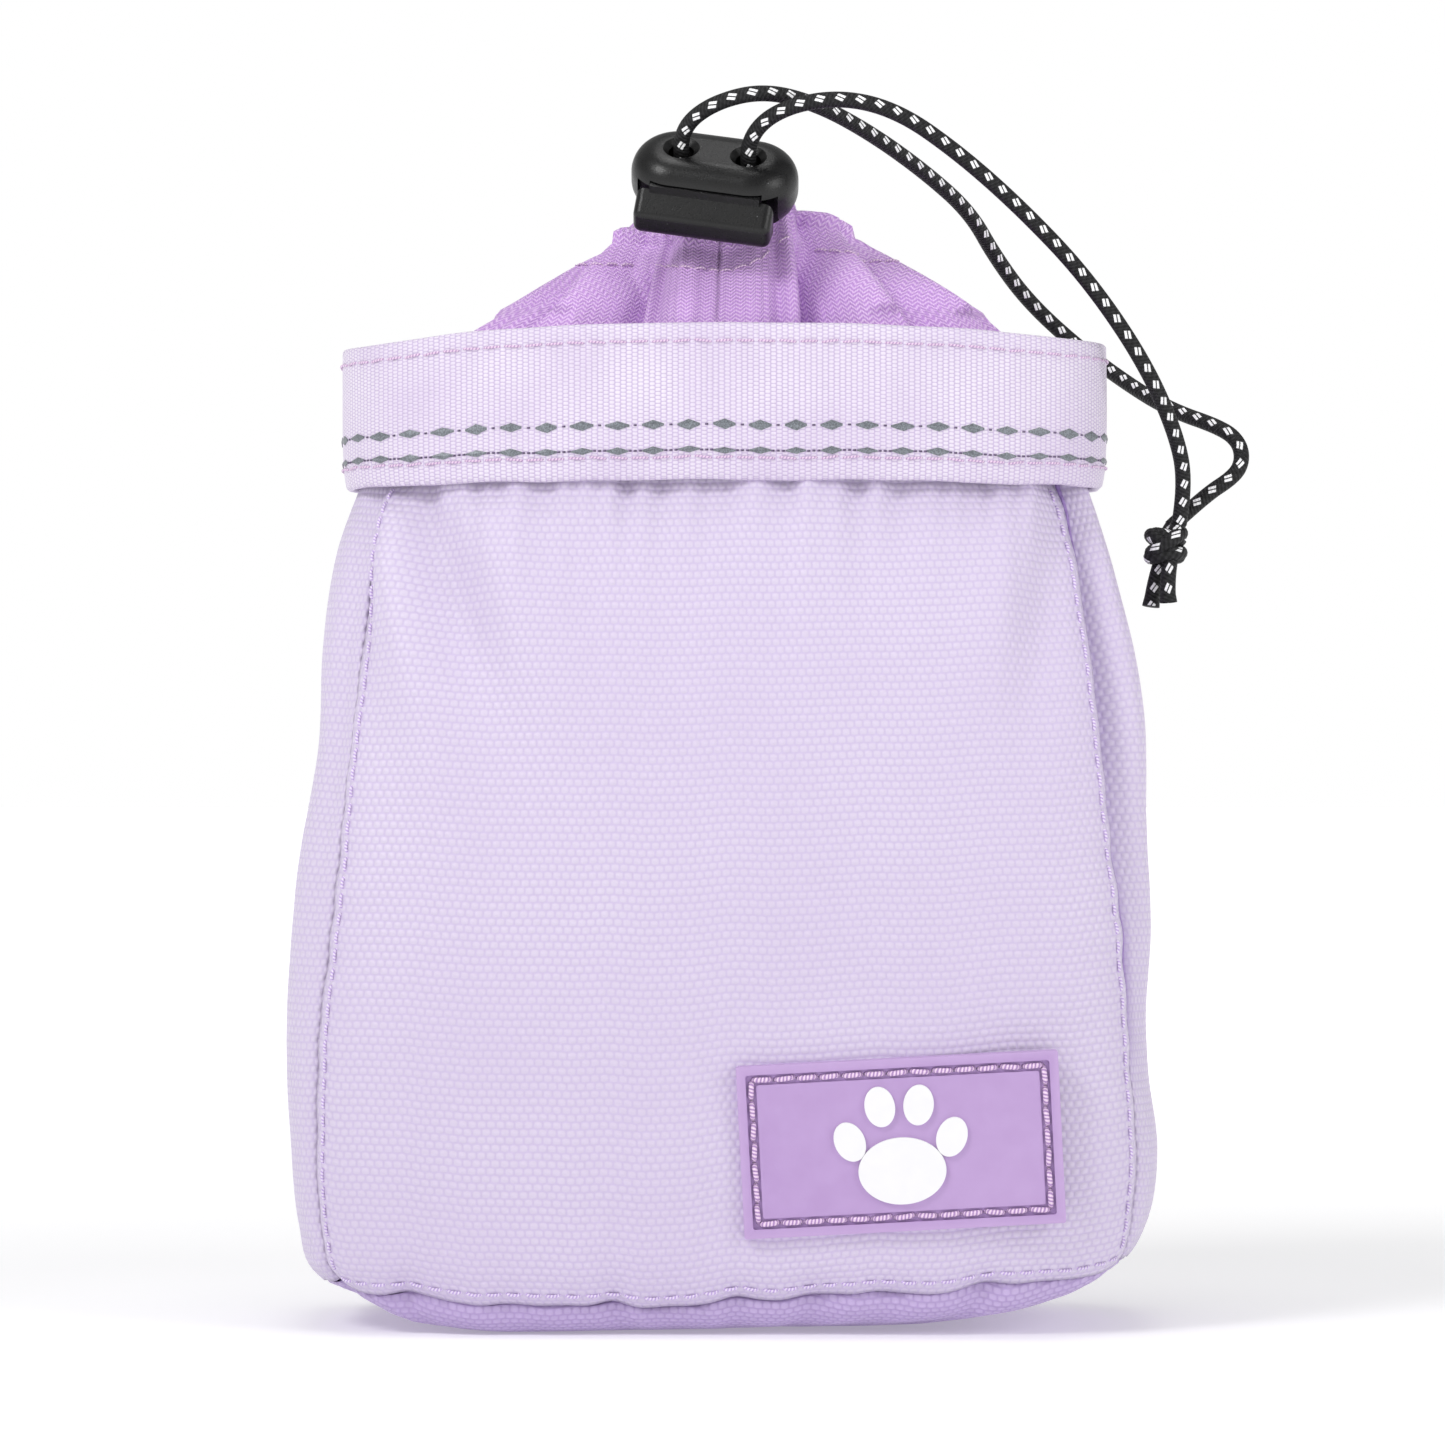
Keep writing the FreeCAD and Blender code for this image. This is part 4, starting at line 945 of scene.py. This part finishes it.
def hem_top(angle):
    """Height of the ruffle: low in front under the lock, highest on the right."""
    right = max(0.0, math.sin(angle))
    back = max(0.0, -math.cos(angle))
    left = max(0.0, -math.sin(angle))
    crest = math.exp(-((angle - 0.85) / 0.42) ** 2)
    return 172.6 + 5.0 * crest + 2.6 * right + 2.0 * left + 3.0 * back


def fold_at(angle):
    """How far the gathered cloth stands out at an angle round the neck, mm."""
    total = 0.0
    for centre, wide, deep in PLEATS:
        gap = (angle - centre + math.pi) % (2 * math.pi) - math.pi
        total += deep * math.exp(-(gap / wide) ** 2)
    return total


def pleats():
    """Folds round the neck: centre, width and outward reach. The front panel lies between two deep valleys."""
    chance = random.Random(5)
    found = [(math.radians(a), wide, deep) for a, wide, deep in (
        (-66, 0.13, -7.5), (61, 0.13, -7.5), (-46, 0.10, -1.8), (36, 0.10, -2.0), (-5, 0.018, -0.8),
        (16, 0.12, 0.8), (-26, 0.12, 0.9), (-81, 0.09, 4.4), (76, 0.09, 4.6), (-92, 0.06, -3.4), (88, 0.06, -3.2))]
    angle = math.radians(98)
    while angle < math.radians(258):
        found.append((angle, chance.uniform(0.07, 0.09), chance.uniform(3.8, 5.6)))
        found.append((angle + math.radians(8.5), chance.uniform(0.05, 0.07), -chance.uniform(5.0, 6.8)))
        angle += math.radians(chance.uniform(13, 16))
    return found


PLEATS = pleats()


def collar_rows():
    base = ring_line(*COLLAR_BASE, 2.8, COLLAR_COUNT)
    # ring_line starts at the back's middle and runs anticlockwise, so the front's middle is half way round.
    run = round_lengths(base)
    places = run[:-1] - run[-1] / 2
    angles = np.array([neck_angle(p, run[-1] / 2) for p in places])
    folds = np.array([fold_at(a) for a in angles])
    creases = 0.9 * rough_all(angles * 5.5, 0.3, 1.0) + 0.5 * rough_all(angles * 12, 0.3, 2.0)
    around = np.stack([np.sin(angles), -np.cos(angles)], axis=1)
    tops = np.array([hem_top(a) for a in angles])
    rows = []
    for step in range(CONE_STEPS):
        t = step / (CONE_STEPS - 1)
        height = COLLAR_FOOT + t * (tops - HEM_ROWS[0][1] - COLLAR_FOOT)
        wide = np.where(base[:, 0] < 0, smooth_curve(CONE_LEFT, height), smooth_curve(CONE_RIGHT, height))
        share = np.clip((COLLAR_BASE[0] - wide) / (COLLAR_BASE[0] - NECK_RADIUS - 2), 0, 1)
        # The front and back stay full low down and draw in near the neck.
        deep = t ** 1.7
        target = around * NECK_RADIUS + np.array(NECK)
        x = base[:, 0] * (1 - share) + target[:, 0] * share
        y = base[:, 1] * (1 - deep) + target[:, 1] * deep
        out = np.stack([x - NECK[0] * share, (y - NECK[1] * deep) * 1.6], axis=1)
        out /= np.linalg.norm(out, axis=1, keepdims=True)
        strength = np.clip((height - 147) / 7, 0, 1)
        soft = 0.9 * rough_all(places / 10, height / 30, 3.0) * (1 - t)
        bulge = 1.7 * math.sin(math.pi * t) ** 1.3
        # The valleys are shallow at the neck, outside the cord in its channel.
        near = min(1.0, max(0.0, (t - 0.55) / 0.35))
        depth = np.maximum(folds, -7.5 + 6.0 * near * near * (3 - 2 * near))
        # The folds stay inside the band until they are above it.
        room = 1.2 + 0.25 * (height - 150) + 1.5 * np.clip(height - 160, 0, None)
        reach = np.minimum((depth + creases) * strength + soft + bulge, room)
        rows.append(np.column_stack([x + out[:, 0] * reach, y + out[:, 1] * reach, height]))
    last = rows[-1]
    last_reach = np.linalg.norm(last[:, :2] - np.array(NECK), axis=1)
    for index, (radius, drop) in enumerate(HEM_ROWS[1:]):
        fall = 1 - (index + 1) / (len(HEM_ROWS) - 1)
        inner = NECK_RADIUS * radius + np.maximum(folds, -3.0) * 0.35 * fall
        # The folds are shallower at the ruffle's edge than in the neck.
        eased = last_reach - np.maximum(folds, -1.5) * 0.25 * min(1.0, (1 - fall) * 2.5)
        reach = eased * radius * fall + inner * (1 - fall)
        lift = tops - drop + (1.3 * rough_all(angles * 3, index / 6.0) + creases * 0.5 + folds * 0.16) * fall
        spot = around * reach[:, None] + np.array(NECK)
        rows.append(np.column_stack([spot, lift]))
    return np.array(rows), places


def make_collar():
    """Gathered tube, one sheet per half: up from the band, then folded over into the throat."""
    grid, places = collar_rows()
    middle = COLLAR_COUNT // 2
    seam = int(np.argmin(np.abs(places + 1.6)))
    up = lengths(grid[:, middle])
    uv = []
    for i, row in enumerate(grid):
        run = round_lengths(row)
        run -= run[middle]
        uv.append([(a * MM, up[i] * MM) for a in run])
    halves = (("collar_cloth_left", list(range(0, seam + 1)), "collar_left"),
              ("collar_cloth_right", list(range(seam, COLLAR_COUNT)) + [0], "collar_right"))
    for name, columns, node in halves:
        part = grid[:, columns]
        last = COLLAR_COUNT if name.endswith("right") else columns[-1]
        wide = [[row[c] for c in columns[:-1]] + [row[last]] for row in uv]
        piece = sheet_object(name, part, COLLAR, thick=0.7, uv=wide)
        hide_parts(node)
    normals = grid_normals(grid, wrap_columns=True)
    row = CONE_STEPS - 6
    folds = np.array([fold_at(neck_angle(p, np.abs(places).max())) for p in places])
    stitch_row("collar_channel_seam", grid[row] + normals[row] * 0.1, normals[row], 2.6, 2.1, 0.17, THREAD,
               closed=True, wander=0.2, keep=folds > -1.2)


# ---------------------------------------------------------------- cords

# The points of part.py's cord routes in millimetres, moved a little, with one more
# beside each corner over the lock.
CORD_LEFT = [
    (-7.2, -4.7, 172.3), (-6.46, -10.5, 177.5), (-6.46, -15.2, 183.1), (-6.46, -19.8, 188.6), (-1.6, -23.6, 192.2),
    (6.4, -23.6, 194.2), (14.9, -18, 192.6), (23.6, -9, 188.8), (32.4, 1, 183.6), (40, 11, 178),
    (44.4, 19, 171.4), (50.0, 25.4, 164.6), (58.0, 27.4, 157.4), (66.1, 20.5, 150.7),
    (72.4, 11.4, 146.0), (80.4, 4.6, 142.7), (83.0, 3.4, 140.3), (83.4, 2.4, 137.3),
    (82.0, 1.8, 134.8), (77.2, 1.9, 131.7), (71.9, 2.8, 126.7),
]
CORD_RIGHT = [
    (4.9, -5.8, 172.3), (4.06, -12.3, 175.9), (4.06, -17.2, 181.7), (4.06, -21.7, 187.1), (8.7, -25.1, 191.1),
    (17.9, -26, 193.0), (27.3, -23.5, 191.1), (37, -19.5, 184.8), (46.8, -16.5, 176.5),
    (57.2, -14.5, 165.9), (66.5, -12.5, 152.7), (72.1, -6, 141.5), (74, -1.8, 133.6),
    (73.0, -0.7, 127.1),
]
TAILS = [((70.4, 2.4, 121.4), (69.2, 2.8, 117.6), (68.7, 2.4, 114.0)),
         ((71.6, -0.6, 121.4), (71.0, -1.2, 118.0), (71.3, -0.8, 114.6))]
CORD_RADIUS = 1.25


def spline_path(points):
    """Points read from the NURBS spline of a route, in millimetres."""
    curve = bpy.data.curves.new("route", "CURVE")
    curve.dimensions = "3D"
    curve.resolution_u = 24
    spline = curve.splines.new("NURBS")
    spline.points.add(len(points) - 1)
    for point, place in zip(spline.points, points):
        point.co = (place[0] * MM, place[1] * MM, place[2] * MM, 1)
    spline.order_u = 3
    spline.use_endpoint_u = True
    holder = bpy.data.objects.new("route", curve)
    bpy.context.scene.collection.objects.link(holder)
    bpy.context.view_layer.update()
    graph = bpy.context.evaluated_depsgraph_get()
    mesh = bpy.data.meshes.new_from_object(holder.evaluated_get(graph))
    path = np.array([tuple(v.co) for v in mesh.vertices]) / MM
    bpy.data.objects.remove(holder)
    bpy.data.curves.remove(curve)
    bpy.data.meshes.remove(mesh)
    return path


def even_path(points, step=0.45):
    """The spline's points, at an even spacing fine enough for the braid."""
    path = spline_path(points)
    return resample(path, int(lengths(path)[-1] / step) + 2)


KNOT_CENTRE = (70.95, 1.0, 123.6)
# Turns of the knot: centre from the middle, long and short radius, lean of its plane (degrees), turn of its start.
KNOT_TURNS = [((0.1, -0.5, 0.55), 2.75, 2.3, 34, 200), ((-0.1, 0.2, 0.1), 2.7, 2.4, -38, 20),
              ((0.0, -0.1, -1.35), 2.35, 2.1, 8, 110), ((0.35, 0.3, 1.5), 1.9, 1.8, -12, 300)]


def make_knot():
    """Overhand knot of both cords pulled tight: four leaning turns, and the cords running in from above."""
    centre = np.array(KNOT_CENTRE)
    strands = []
    for shift, long, short, lean, start in KNOT_TURNS:
        lean = math.radians(lean)
        turn = []
        for t in np.linspace(0, 2 * math.pi * 0.97, 80) + math.radians(start):
            x, y = long * math.cos(t), short * math.sin(t)
            turn.append(centre + shift + (x * math.cos(lean), y, x * math.sin(lean)))
        strands.append(turn)
    for route in (CORD_LEFT, CORD_RIGHT):
        end, back = np.array(route[-1]), np.array(route[-2]) - np.array(route[-1])
        top = end + back / np.linalg.norm(back)
        # A smooth run from along the cord to the middle of the knot.
        strands.append([top * (1 - t) ** 2 + (end * 2 - top) * 2 * t * (1 - t) + centre * t * t
                        for t in np.linspace(0, 0.95, 14)])
    knot = tubes_object("knot_strands", strands, 1.22, BRAID, sides=14)
    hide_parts("end_knot")
    return knot


def make_tails():
    """The two cut ends, a little swollen and heat-sealed."""
    paths, tapers = [], []
    for tail in TAILS:
        path = even_path(tail, 0.35)
        end = np.linspace(0, 1, len(path))
        tapers.append(1 + 0.14 * np.clip((end - 0.8) / 0.2, 0, 1))
        paths.append(path)
    tails = tubes_object("cord_end_tails", paths, CORD_RADIUS, BRAID, sides=16,
                         tapers=tapers)
    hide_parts("cord_tails")
    return tails


def make_cords():
    knot = make_knot()
    tails = make_tails()
    for name, route, node in (("free_cord_left", CORD_LEFT, "cord_left"),
                              ("free_cord_right", CORD_RIGHT, "cord_right")):
        path = even_path(route)
        cord = tubes_object(name, [path], CORD_RADIUS, BRAID, sides=18)
        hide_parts(node)


# ---------------------------------------------------------------- belt loop and carried-over pieces

def make_belt_loop():
    """Webbing strap sewn to the back at both ends, standing off it between."""
    path = [(32.9, 61.5), (32.8, 66), (32.9, 70), (34.6, 75), (37.0, 79.5), (37.7, 88), (37.2, 100),
            (36.2, 108.5), (33.0, 113.6), (28.6, 117.8), (27.0, 122.6), (26.2, 128.5)]
    line = resample(spline_path([(0.0, y, z) for y, z in path]), 90)[:, 1:]
    along = np.gradient(line, axis=0)
    along /= np.linalg.norm(along, axis=1, keepdims=True)
    out = np.stack([along[:, 1], -along[:, 0]], axis=1)
    half, thick = 12.5, 1.5
    profile = [(x, 0.0) for x in np.linspace(half - 0.3, -half + 0.3, 26)]
    profile += [(-half, -thick * 0.3), (-half, -thick * 0.7)]
    profile += [(x, -thick) for x in np.linspace(-half + 0.3, half - 0.3, 26)]
    profile += [(half, -thick * 0.7), (half, -thick * 0.3)]
    grid = np.zeros((len(line), len(profile), 3))
    for j, (x, deep) in enumerate(profile):
        grid[:, j, 0] = x
        grid[:, j, 1:] = line + out * (deep + 0.75)
    run = lengths(np.array(profile + profile[:1]))
    up = lengths(grid[:, 0])
    # Ribs cross the webbing, so the weave's u runs along the strap.
    uv = [[(b * MM, a * MM) for a in run] for b in up]
    piece = sheet_object("loop_webbing", grid, WEBBING, wrap_columns=True, uv=uv)
    close_ends(piece)
    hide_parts("belt_loop")
    paths = []
    for z in (63.5, 68.5, 121.5, 126.5):
        y = float(np.interp(z, line[:, 1], line[:, 0])) + 0.82
        for x in np.arange(-10.5, 10.6, 3.0):
            paths.append(stitch_path((x + 1.2, y, z), (x - 1.2, y, z), (0, 1, 0)))
    stitches = tubes_object("loop_seams", paths, 0.2, THREAD, sides=7)
    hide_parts("belt_loop_stitches")


def close_ends(piece):
    """Fills the open rims of a tube-like mesh."""
    mesh = bmesh.new()
    mesh.from_mesh(piece.data)
    rim = [edge for edge in mesh.edges if edge.is_boundary]
    bmesh.ops.holes_fill(mesh, edges=rim, sides=0)
    mesh.to_mesh(piece.data)
    mesh.free()


def make_patch_thread():
    """Twisted thread lying in the patch's groove, in the patch's own plane."""
    low, high = (Vector(corner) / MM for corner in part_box("patch_stitches"))
    centre = (low + high) / 2
    roll, lean = math.radians(3.0), math.radians(3.2)
    across = np.array([math.cos(roll), 0.0, math.sin(roll)])
    out = np.array([0.0, -math.cos(lean), -math.sin(lean)])
    up = np.cross(out, across)
    across = np.cross(up, out)
    half_x, half_y = 22.7, 11.2
    corners = [(-half_x, -half_y), (half_x, -half_y), (half_x, half_y), (-half_x, half_y)]
    chance = random.Random(3)
    paths = []
    for (x0, y0), (x1, y1) in zip(corners, corners[1:] + corners[:1]):
        side = math.hypot(x1 - x0, y1 - y0)
        count = round(side / 3.4)
        for i in range(count):
            a, b = (i + 0.1) / count, (i + 0.9) / count
            tilt = chance.uniform(-0.16, 0.16)
            ends = []
            for t, sign in ((a, 1), (b, -1)):
                u = x0 + (x1 - x0) * t + tilt * sign * (y1 != y0)
                v = y0 + (y1 - y0) * t + tilt * sign * (x1 != x0)
                ends.append(np.array(centre) + across * u + up * v)
            paths.append(stitch_path(ends[0], ends[1], out, sink=0.35, rise=0.42))
    piece = tubes_object("patch_thread", paths, 0.42, PINK_THREAD, sides=9)
    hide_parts("patch_stitches")


def dress_nodes():
    """Materials of the CAD pieces that stay as they are."""
    materials = {
        "lock_body": BLACK, "lock_button": BLACK, "lock_spring": STEEL, "patch_base": PATCH,
        "patch_emblem": EMBLEM, "channel_cord": BRAID,
    }
    for node, material in materials.items():
        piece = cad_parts[node]
        piece.data.materials.clear()
        piece.data.materials.append(material)


# ---------------------------------------------------------------- studio

CAMERA_AWAY = 1.0
FRAME_WIDE = 0.2312
EYE_HEIGHT = 0.0954
WORLD_TOP = 0.4
LIGHTS = [
    ("key", (-0.65, -0.7, 0.85), 0.4, 5.2),
    ("fill", (0.8, -0.6, 0.5), 0.5, 2.3),
    ("top", (0.0, -0.1, 1.1), 0.5, 2.6),
]


def make_studio():
    scene = bpy.context.scene
    camera = bpy.data.cameras.new("camera")
    camera.sensor_width = 36
    camera.lens = 36 * CAMERA_AWAY / FRAME_WIDE
    camera.clip_start = 0.01
    eye = bpy.data.objects.new("camera", camera)
    eye.location = (0, -CAMERA_AWAY, EYE_HEIGHT)
    eye.rotation_euler = (math.radians(90), 0, 0)
    scene.collection.objects.link(eye)
    scene.camera = eye
    scene.view_settings.view_transform = "Standard"

    floor_mesh = bpy.data.meshes.new("floor")
    floor_mesh.from_pydata([(-6, -6, 0), (6, -6, 0), (6, 6, 0), (-6, 6, 0)], [], [(0, 1, 2, 3)])
    floor = bpy.data.objects.new("floor", floor_mesh)
    floor.location.z = -0.0002
    scene.collection.objects.link(floor)
    pale = Shader("pale_floor", 0.8, Specular_IOR_Level=0.2)
    pale.shader.inputs["Emission Color"].default_value = (1, 1, 1, 1)
    # The far floor glows a little, to stay pale beyond the lamps' reach.
    away = pale.node("ShaderNodeVectorMath", operation="LENGTH")
    pale.tree.links.new(pale.node("ShaderNodeTexCoord").outputs["Object"], away.inputs[0])
    pale.link(pale.ramp(away.outputs["Value"], 0.15, 0.9, 0.22, 0.75), pale.shader.inputs["Emission Strength"])
    pale.colour(pale.mix(pale.noise(8, 2), linear("EEEEEF"), linear("F2F2F3")))
    floor_mesh.materials.append(pale.material)

    # White all round at eye level, softer light from above.
    world = bpy.data.worlds.new("studio")
    world.use_nodes = True
    nodes, links = world.node_tree.nodes, world.node_tree.links
    split = nodes.new("ShaderNodeSeparateXYZ")
    links.new(nodes.new("ShaderNodeTexCoord").outputs["Generated"], split.inputs[0])
    level = nodes.new("ShaderNodeMapRange")
    for socket, number in (("From Min", 0.14), ("From Max", 0.4), ("To Min", 1.0), ("To Max", WORLD_TOP)):
        level.inputs[socket].default_value = number
    links.new(split.outputs[2], level.inputs["Value"])
    links.new(level.outputs[0], nodes["Background"].inputs["Strength"])
    nodes["Background"].inputs["Color"].default_value = (1, 1, 1, 1)
    scene.world = world

    for name, place, wide, power in LIGHTS:
        light = bpy.data.lights.new(name, "AREA")
        light.shape = "DISK"
        light.size = wide
        light.energy = power
        lamp = bpy.data.objects.new(name, light)
        lamp.location = place
        aim = Vector((0, 0, 0.09)) - Vector(place)
        lamp.rotation_euler = aim.to_track_quat("-Z", "Y").to_euler()
        scene.collection.objects.link(lamp)


make_studio()
make_cords()
walls, plain_walls, base_grid = make_body()
make_lining(walls, plain_walls, base_grid)
make_body_seams(walls)
make_band()
make_tracers()
make_rim_stitches()
make_collar()
make_belt_loop()
make_patch_thread()
dress_nodes()
